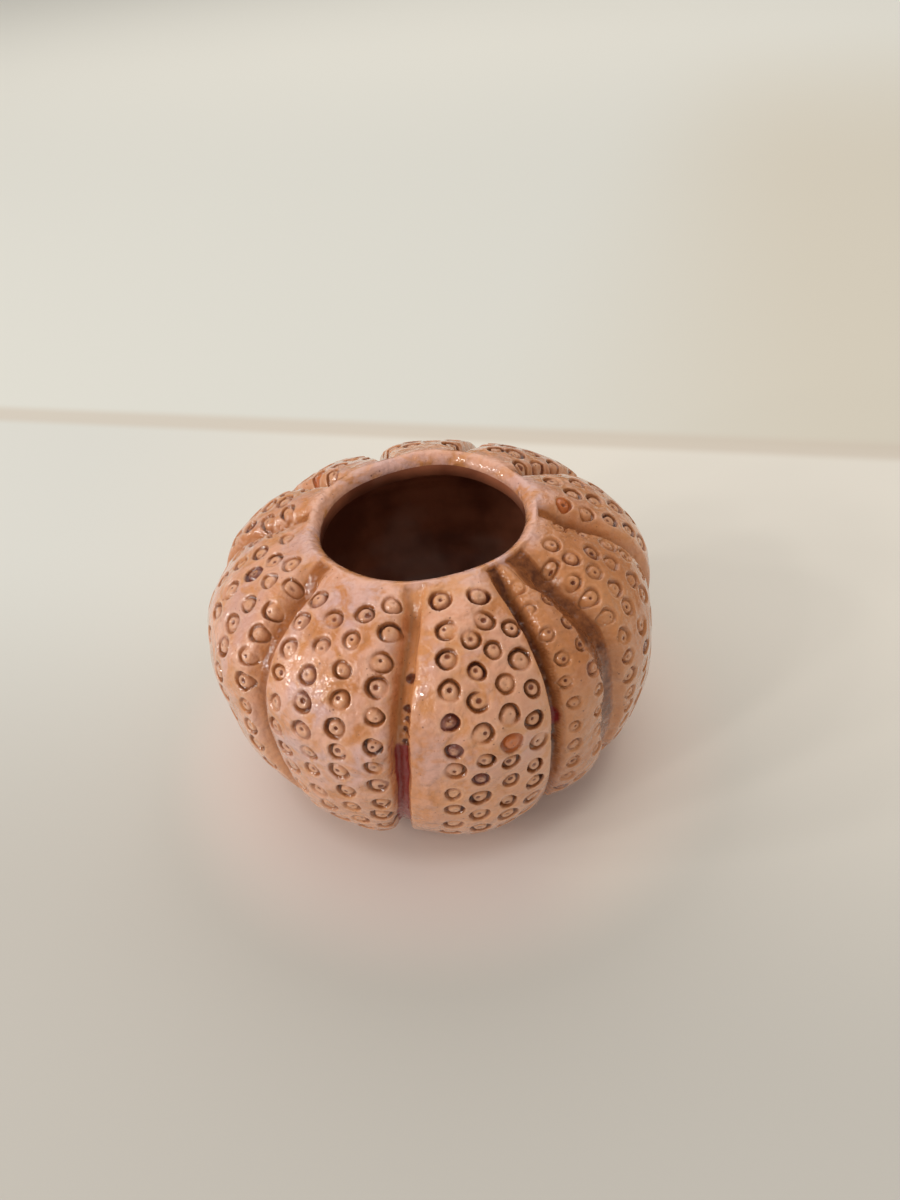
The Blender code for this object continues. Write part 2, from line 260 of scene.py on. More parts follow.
@dataclass
class VaseProfile:
    """The turned outline that the lobes and grooves are worked into, in metres."""

    foot_height: float
    belly_radius: float = 45.0 * MM
    belly_above_foot: float = 33.0 * MM
    shoulder_rise: float = 24.8 * MM
    shoulder_squareness: float = 2.5
    bowl_runout: float = 3.8 * MM
    bowl_squareness: float = 2.8
    mouth_radius: float = 19.6 * MM
    lip_round: float = 2.2 * MM
    foot_round: float = 2.0 * MM
    foot_ring_width: float = 8.0 * MM
    foot_recess: float = 2.0 * MM
    belly_wall: float = 7.0 * MM
    shoulder_wall: float = 4.6 * MM
    floor_thickness: float = 6.0 * MM
    floor_radius: float = 20.0 * MM
    hollow_squareness: float = 2.4
    steps: int = 500
    foot_round_steps: int = 24

    def __post_init__(self) -> None:
        """Work out the rows that are read by run."""
        self.belly_height = self.foot_height + self.belly_above_foot
        self.bowl_depth = self.belly_above_foot + self.bowl_runout
        points = np.array(self.outer_points())
        steps = np.hypot(*np.diff(points, axis=0).T)
        self.run = np.concatenate(([0.0], np.cumsum(steps)))
        self.radius, self.height = points[:, 0], points[:, 1]
        middle = 0.5 * (self.radius[1:] + self.radius[:-1])
        self.flat = np.concatenate(([0.0], np.cumsum(steps / middle)))
        across = np.gradient(self.radius, self.run)
        upward = np.gradient(self.height, self.run)
        size = np.hypot(across, upward)
        self.normal_r, self.normal_z = upward / size, -across / size
        self.length = float(self.run[-1])
        self.belly_run = float(self.run[int(self.radius.argmax())])

    def shoulder(self, radius: float) -> tuple[float, float, float]:
        """Rise above the belly and outward normal on the shoulder.

        Args:
            radius: distance from the axis.

        Returns:
            The rise and the normal's outward and upward parts.
        """
        power = self.shoulder_squareness
        share = min(radius / self.belly_radius, 1.0)
        rise = self.shoulder_rise * (1.0 - share ** power) ** (1.0 / power)
        across = radius ** (power - 1.0) / self.belly_radius ** power
        upward = rise ** (power - 1.0) / self.shoulder_rise ** power
        size = math.hypot(across, upward)
        return rise, across / size, upward / size

    def bowl(self, drop: float) -> tuple[float, float, float]:
        """Radius and outward normal on the bowl.

        Args:
            drop: depth below the belly's level.

        Returns:
            The radius and the normal's outward and downward parts.
        """
        power = self.bowl_squareness
        radius = self.belly_radius * (1.0 - (drop / self.bowl_depth) ** power) ** (1.0 / power)
        across = radius ** (power - 1.0) / self.belly_radius ** power
        downward = drop ** (power - 1.0) / self.bowl_depth ** power
        size = math.hypot(across, downward)
        return radius, across / size, downward / size

    def lip_start(self) -> float:
        """Radius where the shoulder turns into the rolled lip."""
        def inside_mouth(radius: float) -> bool:
            """Whether a roll from here would end nearer the axis than the mouth's wall."""
            across = self.shoulder(radius)[1]
            return radius - self.lip_round * across - self.lip_round < self.mouth_radius

        return settle(self.mouth_radius, self.belly_radius, inside_mouth)

    def foot_start(self) -> float:
        """Drop where the bowl turns into the rounding of the foot."""
        def above_foot(drop: float) -> bool:
            """Whether a rounding from here would end above the foot's face."""
            downward = self.bowl(drop)[2]
            return drop - self.foot_round * downward + self.foot_round < self.belly_above_foot

        return settle(0.0, self.belly_above_foot, above_foot)

    def outer_points(self) -> list[tuple[float, float]]:
        """Radius and height from the foot ring's edge up to the lip."""
        drop, start = self.foot_start(), self.lip_start()
        radius, across, downward = self.bowl(drop)
        centre_radius = radius - self.foot_round * across
        centre_drop = drop - self.foot_round * downward
        last = math.atan2(across, downward)
        points = []
        for step in range(self.foot_round_steps):
            angle = last * step / self.foot_round_steps
            points.append((centre_radius + self.foot_round * math.sin(angle),
                           -centre_drop - self.foot_round * math.cos(angle)))
        for step in range(self.steps):
            level = drop * (1.0 - step / self.steps)
            points.append((self.bowl(level)[0], -level))
        for step in range(self.steps + 1):
            turn = 0.5 * math.pi * step / self.steps
            along = start + (self.belly_radius - start) * math.cos(turn)
            points.append((along, self.shoulder(along)[0]))
        return [(radius, self.belly_height + height) for radius, height in points]

    def lip_points(self, steps: int) -> list[tuple[float, float]]:
        """Radius and height over the rolled lip to the mouth's wall.

        Args:
            steps: points over the roll.

        Returns:
            The points, without the first, where the shoulder ends.
        """
        start = self.lip_start()
        rise, across, upward = self.shoulder(start)
        centre = (start - self.lip_round * across, rise - self.lip_round * upward)
        first = math.atan2(upward, across)
        points = []
        for step in range(1, steps + 1):
            angle = first + (math.pi - first) * step / steps
            points.append((centre[0] + self.lip_round * math.cos(angle),
                           self.belly_height + centre[1] + self.lip_round * math.sin(angle)))
        return points

    def hollow_points(self, steps: int) -> list[tuple[float, float]]:
        """Radius and height down the inside wall to the floor's edge.

        Args:
            steps: points above the belly, and again below it.

        Returns:
            The points from under the lip to the flat floor.
        """
        power = self.hollow_squareness
        curve = 2.0 / power
        widest = self.belly_radius - self.belly_wall
        roof = self.shoulder_rise - self.shoulder_wall
        floor_drop = self.belly_above_foot - self.floor_thickness
        first = math.acos((self.mouth_radius / widest) ** (power / 2.0))
        last = math.acos((self.floor_radius / widest) ** (power / 2.0))
        depth = floor_drop / math.sin(last) ** curve
        turns = [(first * (1.0 - step / steps), roof) for step in range(steps)]
        turns += [(last * step / steps, -depth) for step in range(steps + 1)]
        return [(widest * math.cos(turn) ** curve, self.belly_height + reach * math.sin(turn) ** curve)
                for turn, reach in turns]

    def read(self, row: np.ndarray, run: np.ndarray) -> np.ndarray:
        """One of the profile's rows at runs up the outside."""
        return np.interp(run, self.run, row)

    def radius_at(self, run: float) -> float:
        """The radius at one run up the outside."""
        return float(self.read(self.radius, run))

    def run_at(self, above_belly: float) -> float:
        """The run at a height above or below the belly's level."""
        return float(np.interp(self.belly_height + above_belly, self.height, self.run))


@dataclass
class Masks:
    """How much of each glaze effect shows at each vertex, from 0 to 1."""

    pool: np.ndarray
    wine: np.ndarray
    amber: np.ndarray
    plum: np.ndarray
    pit: np.ndarray
    # Pearly glaze, partly painted sheen.
    pearl_and_sheen: np.ndarray
    rim: np.ndarray

    NAMES = ("pool", "wine", "amber", "plum", "pit", "pearl_and_sheen", "rim")

    @classmethod
    def clear(cls, count: int) -> "Masks":
        """Masks of zeros for a number of vertices."""
        return cls(*(np.zeros(count) for _ in cls.NAMES))

    def lift(self, name: str, values: np.ndarray, where: object = ...) -> None:
        """Raise one mask to any values that are higher.

        Args:
            name: the mask.
            values: a value for each of the places.
            where: the places, all of them when left out.
        """
        row = getattr(self, name)
        row[where] = np.maximum(row[where], values)


GROOVES = (
    Groove(-55.0, 16.0, floor=1.2 * MM, wall=2.2 * MM, depth=2.2 * MM, stain=0.5),
    Groove(-6.0, -12.0, 1.0, floor=1.05 * MM, wall=0.95 * MM, depth=2.7 * MM, depth_at_foot=0.4, stain=0.07,
           left_slope=1.7 * MM, wine=(-36.0 * MM, 6.5 * MM), wine_spread=0.7,
           pits=(Pit(16.6 * MM, 0.9 * MM, 1.1 * MM), Pit(12.2 * MM, 0.85 * MM, 0.95 * MM),
                 Pit(10.4 * MM, 1.1 * MM, 0.7 * MM), Pit(8.0 * MM, 0.95 * MM, 0.9 * MM),
                 Pit(4.9 * MM, 0.8 * MM, 0.85 * MM))),
    Groove(31.5, -3.0, -3.5, floor=0.7 * MM, wall=1.1 * MM, depth=2.5 * MM, stain=0.85,
           wine=(-1.0 * MM, 7.0 * MM), wine_spread=1.3,
           pits=(Pit(20.0 * MM, -0.3 * MM, 1.0 * MM), Pit(16.8 * MM, 0.1 * MM, 0.95 * MM),
                 Pit(13.6 * MM, -0.3 * MM, 0.8 * MM), Pit(10.8 * MM, 0.1 * MM, 0.7 * MM),
                 Pit(-2.4 * MM, 0.2 * MM, 0.7 * MM))),
    Groove(45.5, 1.5, floor=2.4 * MM, wall=1.5 * MM, depth=1.9 * MM, stain=0.72),
    Groove(83.0, 0.0, stain=0.5),
    Groove(121.0, -3.0, 1.0, floor=1.2 * MM, stain=0.6, wine=(-20.0 * MM, 3.0 * MM),
           pits=(Pit(14.0 * MM, 0.5 * MM, 0.8 * MM), Pit(8.0 * MM, -0.4 * MM, 0.7 * MM),
                 Pit(4.5 * MM, 0.5 * MM, 0.6 * MM))),
    Groove(157.0, 4.0, -1.0, stain=0.45),
    Groove(196.0, 0.0, wander=0.0, stain=0.55,
           pits=(Pit(16.0 * MM, 0.5 * MM, 0.7 * MM), Pit(9.0 * MM, -0.4 * MM, 0.6 * MM))),
    Groove(228.0, 4.0, 1.0, floor=1.4 * MM, stain=0.5, wine=(-30.0 * MM, -4.0 * MM)),
    Groove(258.0, 3.0, stain=0.45,
           pits=(Pit(12.0 * MM, 0.4 * MM, 0.7 * MM), Pit(6.0 * MM, -0.2 * MM, 0.65 * MM))),
)
SEAM_GROOVE = 7

# Rings whose glaze turned out otherwise: lobe, column, length up the outside, glaze
ACCENTS = (
    (1, 0, 46.9 * MM, StampGlaze.PLUM),
    (1, 1, 53.5 * MM, StampGlaze.DEEP),
    (1, 2, 44.9 * MM, StampGlaze.AMBER),
    (1, 1, 37.4 * MM, StampGlaze.PLUM),
)

LOBES = (
    Lobe(4, 5.9 * MM, 4.3 * MM, 5.15 * MM, 0.82, boldness=0.78, pearl_and_sheen=1.0, left_fade=0.45),
    Lobe(4, 9.4 * MM, 5.0 * MM, 5.3 * MM, 0.8, boldness=0.95, pearl_and_sheen=0.7, left_fade=0.9),
    Lobe(3, 3.5 * MM, 4.8 * MM, 5.0 * MM, 0.2, set_back=0.9 * MM, boldness=0.45, pearl_and_sheen=0.15, ring_scale=0.82,
         faintness=0.6),
    Lobe(4, 5.6 * MM, 5.0 * MM, 4.8 * MM, 0.6, set_back=0.5 * MM, boldness=0.5, pearl_and_sheen=0.05, ring_scale=0.95,
         faintness=0.45),
    Lobe(4, 5.4 * MM, 4.8 * MM, 5.0 * MM, 0.3, pearl_and_sheen=0.4),
    Lobe(4, 4.6 * MM, 5.4 * MM, 4.9 * MM, 0.7, boldness=0.85, pearl_and_sheen=0.6),
    Lobe(4, 6.0 * MM, 5.0 * MM, 5.1 * MM, 0.0, pearl_and_sheen=0.4),
    Lobe(4, 4.8 * MM, 5.6 * MM, 4.8 * MM, 0.5, boldness=0.8, pearl_and_sheen=0.7),
    Lobe(3, 5.5 * MM, 5.0 * MM, 5.0 * MM, 0.2, pearl_and_sheen=0.5),
    Lobe(5, 5.2 * MM, 4.8 * MM, 5.1 * MM, 0.8, boldness=0.6, pearl_and_sheen=0.8),
)


@dataclass
class VaseSurface:
    """Everything that hands and tools did to the outside of the turned form."""

    profile: VaseProfile
    grooves: tuple[Groove, ...] = GROOVES
    lobes: tuple[Lobe, ...] = LOBES
    crown: float = 1.5 * MM
    foot_fade: float = 3.0 * MM
    lip_fade: float = 7.0 * MM
    stamp_start: float = 9.5 * MM
    stamp_end: float = 3.5 * MM
    ring_radius: float = 2.08 * MM
    ring_depth: float = 0.72 * MM
    ring_middle: float = 0.79
    ring_outer: float = 0.2
    ring_inner: float = 0.26
    burr: float = 0.07 * MM
    burr_middle: float = 1.12
    burr_half: float = 0.16
    island_sink: float = 0.18 * MM
    depth_gain: float = 1.12
    line_middle: float = 0.84
    line_half: float = 0.16
    wash_middle: float = 0.72
    wash_half: float = 0.34
    stamp_reach: float = 1.35
    even_share: float = 0.55
    even_tilt: tuple[float, float] = (0.15, 0.75)
    one_sided_tilt: tuple[float, float] = (0.8, 1.15)
    column_stagger: float = 0.46
    recent: int = 60
    least_apart: float = 4.0 * MM
    wander: float = 0.5 * MM
    lump: float = 0.16 * MM
    seed: int = 23
    stamps: list[Stamp] = field(default_factory=list)

    def __post_init__(self) -> None:
        """Place the stamps once."""
        self.seam = math.radians(self.grooves[SEAM_GROOVE].azimuth) - TAU
        self.stamps = self.lay_out_stamps()

    def groove_azimuth(self, number: int, run: np.ndarray) -> np.ndarray:
        """A groove's azimuth at runs up the outside.

        Args:
            number: which groove, going round past the last to the first.
            run: lengths up the profile.

        Returns:
            Azimuths in radians.
        """
        turns, index = divmod(number, len(self.grooves))
        groove = self.grooves[index]
        share = 1.0 - run / self.profile.length
        drawn = groove.azimuth + groove.lean * share + 4.0 * groove.bow * share * (1.0 - share)
        bend = groove.wander / self.profile.belly_radius * np.sin(TAU * 1.4 * share + 2.3 * index)
        return np.radians(drawn) + bend + TAU * turns

    def past_seam(self, azimuth: np.ndarray) -> np.ndarray:
        """Bring azimuths into the turn that starts at the seam."""
        return self.seam + np.mod(azimuth - self.seam, TAU)

    def lay_out_stamps(self) -> list[Stamp]:
        """Place every ring, column by column and lobe by lobe.

        Returns:
            The stamps in the order that they were pressed.
        """
        hand, look = random.Random(self.seed), random.Random(self.seed + 1)
        profile = self.profile
        placed: list[Stamp] = []
        for number, lobe in enumerate(self.lobes):
            belly = np.array(profile.belly_run)
            left = float(self.groove_azimuth(number, belly))
            width = (float(self.groove_azimuth(number + 1, belly)) - left) * profile.belly_radius
            for column in range(lobe.columns):
                gap = (width - lobe.left_margin - lobe.right_margin) / max(lobe.columns - 1, 1)
                share = (lobe.left_margin + gap * column) / width
                run = self.stamp_start + lobe.pitch * ((lobe.phase + self.column_stagger * column) % 1.0)
                while run < profile.length - self.stamp_end:
                    stamp = self.press(hand, look, number, share, run)
                    for accent_lobe, accent_column, level, glaze in ACCENTS:
                        here = (accent_lobe, accent_column) == (number, column)
                        if here and abs(run - level) < 0.5 * lobe.pitch:
                            stamp.glaze = glaze
                    if all(self.distance(stamp, other) > self.least_apart for other in placed[-self.recent:]):
                        placed.append(stamp)
                    run += lobe.pitch
        return placed

    def press(self, hand: random.Random, look: random.Random, number: int, share: float, run: float) -> Stamp:
        """Press one ring, with the unevenness of a hand.

        Args:
            hand: the seeded source of the ring's place and outline, drawn as the solid draws it.
            look: the seeded source of everything finer.
            number: which lobe.
            share: place across the lobe from 0 to 1.
            run: place up the lobe.

        Returns:
            The stamp.
        """
        lobe = self.lobes[number]
        place = np.array(run + hand.uniform(-self.wander, self.wander))
        left = float(self.groove_azimuth(number, place))
        right = float(self.groove_azimuth(number + 1, place))
        radius = self.profile.radius_at(float(place))
        azimuth = left + share * (right - left) + hand.uniform(-self.wander, self.wander) / radius
        if azimuth > self.seam + TAU:
            azimuth -= TAU
        size = self.ring_radius * lobe.ring_scale * hand.uniform(0.88, 1.08)
        oval, oval_turn = hand.uniform(0.84, 1.0), hand.uniform(0.0, math.pi)
        bold = lobe.boldness * look.uniform(0.5, 1.25)
        chance = look.random()
        glaze = next((kind for limit, kind in GLAZE_LIMITS if chance < limit), StampGlaze.BROWN)
        tilts = self.even_tilt if look.random() < self.even_share else self.one_sided_tilt
        fade = lobe.left_fade + (1.0 - lobe.left_fade) * share
        return Stamp(
            azimuth=azimuth, run=float(place), radius=size, depth=self.ring_depth * (0.5 + 0.55 * bold),
            tilt=look.uniform(*tilts), tilt_turn=look.uniform(0.0, TAU), oval=oval, oval_turn=oval_turn,
            pit_out=look.uniform(0.05, 0.55) * MM, pit_turn=look.uniform(0.0, TAU),
            pit_radius=look.uniform(0.5, 0.95) * MM * (1.0 - 0.35 * lobe.faintness),
            pit_depth=look.uniform(0.1, 0.6) * MM * (0.6 + 0.5 * bold + 0.8 * lobe.faintness),
            stain=min(1.0, 0.3 + 0.75 * bold) * (1.0 - lobe.faintness) * fade, glaze=glaze)

    def distance(self, one: Stamp, two: Stamp) -> float:
        """Distance over the surface between two stamps that are near each other."""
        radius = self.profile.radius_at(0.5 * (one.run + two.run))
        return math.hypot(wrapped(one.azimuth - two.azimuth) * radius, one.run - two.run)

    def relief(self, azimuth: np.ndarray, run: np.ndarray, masks: Masks) -> np.ndarray:
        """How far grooves, lobes and pin pits sink the surface, with their glaze.

        Args:
            azimuth: azimuths in radians.
            run: lengths up the profile.
            masks: the glaze masks, filled in here.

        Returns:
            The sink at each place, in metres.
        """
        profile = self.profile
        radius = profile.read(profile.radius, run)
        above = profile.read(profile.height, run) - profile.belly_height
        first = self.groove_azimuth(0, run)
        turned = first + np.mod(azimuth - first + 1e-9, TAU)
        sink = np.zeros_like(azimuth)
        for number, lobe in enumerate(self.lobes):
            left, right = self.groove_azimuth(number, run), self.groove_azimuth(number + 1, run)
            inside = (turned >= left) & (turned < right)
            to_left, to_right = (turned - left) * radius, (right - turned) * radius
            half = 0.5 * (right - left) * radius
            near = np.minimum(to_left, to_right)
            depth = self.crown * (1.0 - np.clip(near / half, 0.0, 1.0)) ** 2.2 + lobe.set_back
            for away, index in ((to_left, number), (to_right, number + 1)):
                groove = self.grooves[index % len(self.grooves)]
                neighbour = self.lobes[(number - 1 if index == number else number + 1) % len(self.lobes)]
                uneven = 1.0 + 0.14 * np.sin(run / (3.1 * MM) + index)
                uneven = uneven + 0.08 * np.sin(run / (1.2 * MM) + 2 * index)
                floor = groove.floor * uneven
                cut = 1.0 - smooth((away - floor) / groove.wall)
                blend = 0.5 * (1.0 - smooth(away / (floor + 0.6 * groove.wall)))
                shallow = (1.0 - groove.depth_at_foot) * (1.0 - run / profile.length) ** 1.5
                drawn = groove.depth * (1.0 - shallow)
                depth = depth + drawn * cut + blend * (neighbour.set_back - lobe.set_back)
                slope = 0.0 if index == number else groove.left_slope
                pooled = 1.0 - smooth((away - 0.7 * floor) / (0.3 * MM + 0.7 * groove.wall + slope))
                if slope:
                    depth = depth + 0.25 * drawn * (1.0 - smooth((away - floor) / (groove.wall + slope)))
                pooled = np.maximum(groove.stain * pooled, 0.34 * lobe.faintness)
                masks.lift("pool", pooled[inside], inside)
                if groove.wine:
                    low, high = groove.wine
                    reach = smooth((above - low) / (3.0 * MM)) * smooth((high - above) / (4.5 * MM))
                    strip = 1.0 - smooth((away - 0.9 * floor) / (groove.wine_spread * groove.wall))
                    masks.lift("wine", (strip * reach)[inside], inside)
            # Pearly glaze with painted sheen, more of it higher up and away from the grooves.
            pearl_and_sheen_reach = 0.3 + 0.7 * smooth((above + 16.0 * MM) / (18.0 * MM))
            pearl_and_sheen_reach = pearl_and_sheen_reach * smooth((near - 1.2 * MM) / (2.2 * MM))
            masks.pearl_and_sheen[inside] = (lobe.pearl_and_sheen * pearl_and_sheen_reach)[inside]
            sink = np.where(inside, depth, sink)
        # Pearly glaze and painted sheen over the lip.
        at_lip = smooth(1.0 - (profile.length - run) / (3.0 * MM))
        masks.lift("pearl_and_sheen", 0.9 * at_lip)
        up = run / profile.length
        lumps = np.sin(9.0 * azimuth + 14.6 * up) + np.sin(14.0 * azimuth - 20.3 * up + 1.3)
        sink += self.lump * lumps
        fade = smooth(run / self.foot_fade) * (0.25 + 0.75 * smooth((profile.length - run) / self.lip_fade))
        sink *= fade
        for index, groove in enumerate(self.grooves):
            for pit in groove.pits:
                centre = profile.run_at(pit.above_belly)
                place = float(self.groove_azimuth(index, np.array(centre)))
                out = np.hypot(wrapped(azimuth - place) * radius - pit.aside, run - centre) / pit.radius
                hole = 1.0 - smooth((out - 0.35) / 0.75)
                sink += pit.depth * hole
                masks.lift("pit", 1.0 - smooth((out - 0.6) / 0.7))
        return sink

    def impressions(self, azimuth: np.ndarray, run: np.ndarray, masks: Masks) -> np.ndarray:
        """How far the stamped rings sink the surface, with their glaze.

        Args:
            azimuth: azimuths in radians.
            run: lengths up the profile.
            masks: the glaze masks, filled in here.

        Returns:
            The sink at each place, in metres.
        """
        sink = np.zeros_like(azimuth)
        for stamp in self.stamps:
            across = wrapped(azimuth - stamp.azimuth) * self.profile.radius_at(stamp.run)
            along = run - stamp.run
            reach = self.stamp_reach * stamp.radius
            near = (np.abs(across) < reach) & (np.abs(along) < reach)
            x, y = across[near], along[near]
            turn = np.arctan2(y, x)
            ragged = 0.035 * np.sin(3.0 * turn + stamp.tilt_turn)
            ragged = ragged + 0.016 * np.sin(5.0 * turn + 2.0 * stamp.pit_turn)
            out = stamp.out(x, y) * (1.0 + ragged)
            lean = np.clip(1.0 + stamp.tilt * np.cos(turn - stamp.tilt_turn), 0.04, 1.45)
            offset = out - self.ring_middle
            span = np.where(offset > 0.0, self.ring_outer, self.ring_inner)
            channel = np.clip(1.0 - (offset / span) ** 2, 0.0, 1.0) ** 1.5
            island = 1.0 - smooth((out - 0.35) / 0.3)
            rim = np.clip(1.0 - np.abs(out - self.burr_middle) / self.burr_half, 0.0, 1.0)
            pit_x, pit_y = stamp.pit_place
            pit = 1.0 - smooth((np.hypot(x - pit_x, y - pit_y) / stamp.pit_radius - 0.2) / 0.8)
            inside = 1.0 - smooth((out - 0.85) / 0.15)
            depth = self.depth_gain * stamp.depth * channel * lean + stamp.pit_depth * pit
            thrown = self.burr * rim * np.minimum(lean, 1.0)
            depth += self.island_sink * inside * (1.0 - 0.4 * island) - thrown
            sink[near] += depth
            line = np.clip(1.25 - np.abs(out - self.line_middle) / self.line_half, 0.0, 1.0)
            wash = np.clip(1.0 - np.abs(out - self.wash_middle) / self.wash_half, 0.0, 1.0)
            stain = stamp.stain * np.maximum(line, 0.4 * wash) * np.minimum(lean, 1.0) ** 0.8
            stain = np.maximum(stain, 0.12 * stamp.stain * inside)
            if stamp.glaze is StampGlaze.DEEP:
                stain = np.clip(1.35 * stain, 0.0, 1.0)
            masks.lift("pool", stain, near)
            masks.lift("pit", pit * (0.32 + 1.3 * stamp.pit_depth / MM), near)
            masks.pearl_and_sheen[near] *= 1.0 - 0.4 * inside
            masks.lift("rim", np.maximum(stamp.stain * rim, min(0.8, stamp.stain) * island), near)
            masks.lift("plum", stamp.rosiness * inside * (1.0 - 0.5 * island), near)
            if stamp.glaze is StampGlaze.AMBER:
                masks.lift("amber", inside, near)
        return sink


@dataclass
class VaseMesh:
    """The closed mesh of the body, from the outside over the lip to the hollow and the foot."""

    profile: VaseProfile
    surface: VaseSurface
    land_step: float = 0.68 * MM
    groove_step: float = 0.66 * MM
    groove_rows: tuple[float, ...] = (0.0, 0.25, 0.5, 0.75, 1.0)
    ring_sides: int = 18
    ring_levels: tuple[float, ...] = (1.22, 1.05, 0.93, 0.8, 0.66, 0.5)
    pit_sides: int = 7
    pit_levels: tuple[float, ...] = (0.95, 0.5)
    floor_levels: tuple[float, ...] = (0.8, 0.6, 0.4, 0.2)
    base_levels: tuple[float, ...] = (0.75, 0.5, 0.25)
    edge_clear: float = 0.6
    ring_clear: float = 1.36
    neighbour_clear: float = 1.14
    jitter_seed: int = 7
    rim_segments: int = 240
    hollow_segments: int = 120
    floor_segments: int = 60
    lip_steps: int = 9
    hollow_steps: int = 20
    foot_steps: int = 6
    hand_squeeze: float = 0.35 * MM
    lip_wave: float = 0.45 * MM
    throwing_ridge: float = 0.22 * MM
    ridge_turn: float = 1.9
    lip_pearl_and_sheen: float = 0.9
    vertices: list[np.ndarray] = field(default_factory=list)
    faces: list[tuple[int, ...]] = field(default_factory=list)
    slots: list[int] = field(default_factory=list)
    count: int = 0

    def outer_places(self) -> tuple[np.ndarray, np.ndarray, dict[str, np.ndarray]]:
        """Azimuths and runs of the outside's vertices.

        Returns:
            The azimuths, the runs, and the index rows of the seams and rims.
        """
        profile, surface = self.profile, self.surface
        seam, length = surface.seam, profile.length
        steps = int(length / self.land_step)
        turns = seam + TAU * np.arange(self.rim_segments + 1) / self.rim_segments
        levels = length * np.arange(1, steps) / steps
        rows = {}
        azimuths = [turns, turns, np.full(steps - 1, seam), np.full(steps - 1, seam + TAU)]
        runs = [np.zeros(len(turns)), np.full(len(turns), length), levels, levels]
        start = 0
        for name, part in zip(("foot", "lip", "left", "right"), azimuths):
            rows[name] = np.arange(start, start + len(part))
            start += len(part)
        jitter = np.random.default_rng(self.jitter_seed)
        land_azimuth, land_run = [], []
        for level, run in enumerate(levels):
            around = int(TAU * profile.radius_at(run) / self.land_step)
            share = (np.arange(around) + 0.5 + 0.25 * (-1) ** level) / around
            share = share + jitter.uniform(-0.12, 0.12, around) / around
            land_azimuth.append(seam + TAU * share)
            land_run.append(run + jitter.uniform(-0.1, 0.1, around) * self.land_step)
        azimuth, run = np.concatenate(land_azimuth), np.concatenate(land_run)
        clear = np.ones(len(azimuth), bool)
        radii = profile.read(profile.radius, run)
        margin = self.edge_clear * self.land_step
        for index, groove in enumerate(surface.grooves):
            across = wrapped(azimuth - surface.groove_azimuth(index, run)) * radii
            clear &= np.abs(across) > groove.reach + margin
        groove_azimuth, groove_run = self.groove_places()
        azimuth = np.concatenate((azimuth[clear], groove_azimuth))
        run = np.concatenate((run[clear], groove_run))
        keep = (run > margin) & (run < length - margin)
        ring_azimuth, ring_run = [], []
        for stamp in surface.stamps:
            radius = profile.radius_at(stamp.run)
            across = wrapped(azimuth - stamp.azimuth) * radius
            keep &= stamp.out(across, run - stamp.run) > self.ring_clear
            local_azimuth, local_run = self.stamp_places(stamp, radius)
            ring_azimuth.append(local_azimuth)
            ring_run.append(local_run)
        azimuths += [azimuth[keep], np.concatenate(ring_azimuth)]
        runs += [run[keep], np.concatenate(ring_run)]
        return np.concatenate(azimuths), np.concatenate(runs), rows

    def groove_places(self) -> tuple[np.ndarray, np.ndarray]:
        """Vertices laid in rows along the grooves' floors and walls.

        Returns:
            Azimuths and runs.
        """
        profile, surface = self.profile, self.surface
        azimuths, runs = [], []
        for index, groove in enumerate(surface.grooves):
            offsets = [0.0] + [groove.floor + groove.wall * share for share in self.groove_rows]
            inner_rows = max(1, round(groove.floor / self.land_step))
            offsets += [groove.floor * row / inner_rows for row in range(1, inner_rows)]
            for order, offset in enumerate(sorted(offsets)):
                first = 0.6 + 0.5 * (order % 2)
                run = np.arange(first, profile.length / self.groove_step - 0.5) * self.groove_step
                radius = profile.read(profile.radius, run)
                for side in (-1.0, 1.0) if offset else (1.0,):
                    if index == SEAM_GROOVE and not offset:
                        continue
                    turn = surface.groove_azimuth(index, run) + side * offset / radius
                    azimuths.append(surface.past_seam(turn))
                    runs.append(run)
        return np.concatenate(azimuths), np.concatenate(runs)

    def stamp_places(self, stamp: Stamp, radius: float) -> tuple[np.ndarray, np.ndarray]:
        """Vertices laid along one stamp's own circles.

        Args:
            stamp: the stamp.
            radius: the body's radius there.

        Returns:
            Azimuths and runs.
        """
        xs, ys = [], []
        cosine, sine = math.cos(stamp.oval_turn), math.sin(stamp.oval_turn)
        for share in self.ring_levels:
            turn = TAU * np.arange(self.ring_sides) / self.ring_sides
            along = share * stamp.radius * np.cos(turn)
            across = share * stamp.radius * stamp.oval * np.sin(turn)
            xs.append(along * cosine - across * sine)
            ys.append(along * sine + across * cosine)
        pit_x, pit_y = stamp.pit_place
        for share in self.pit_levels:
            turn = TAU * np.arange(self.pit_sides) / self.pit_sides
            xs.append(pit_x + share * stamp.pit_radius * np.cos(turn))
            ys.append(pit_y + share * stamp.pit_radius * np.sin(turn))
        xs.append(np.array([pit_x]))
        ys.append(np.array([pit_y]))
        x, y = np.concatenate(xs), np.concatenate(ys)
        clear = np.ones(len(x), bool)
        for other in self.surface.stamps:
            if other is stamp or self.surface.distance(stamp, other) > 3.0 * stamp.radius:
                continue
            turn = wrapped(other.azimuth - stamp.azimuth)
            away = other.out(x - turn * radius, y - (other.run - stamp.run))
            clear &= (away > self.neighbour_clear) | (away > stamp.out(x, y) + 0.02)
        return self.surface.past_seam(stamp.azimuth + x[clear] / radius), stamp.run + y[clear]

    def add(self, points: np.ndarray) -> list[int]:
        """Add points and give their indices."""
        self.vertices.append(points)
        first = self.count
        self.count += len(points)
        return list(range(first, self.count))

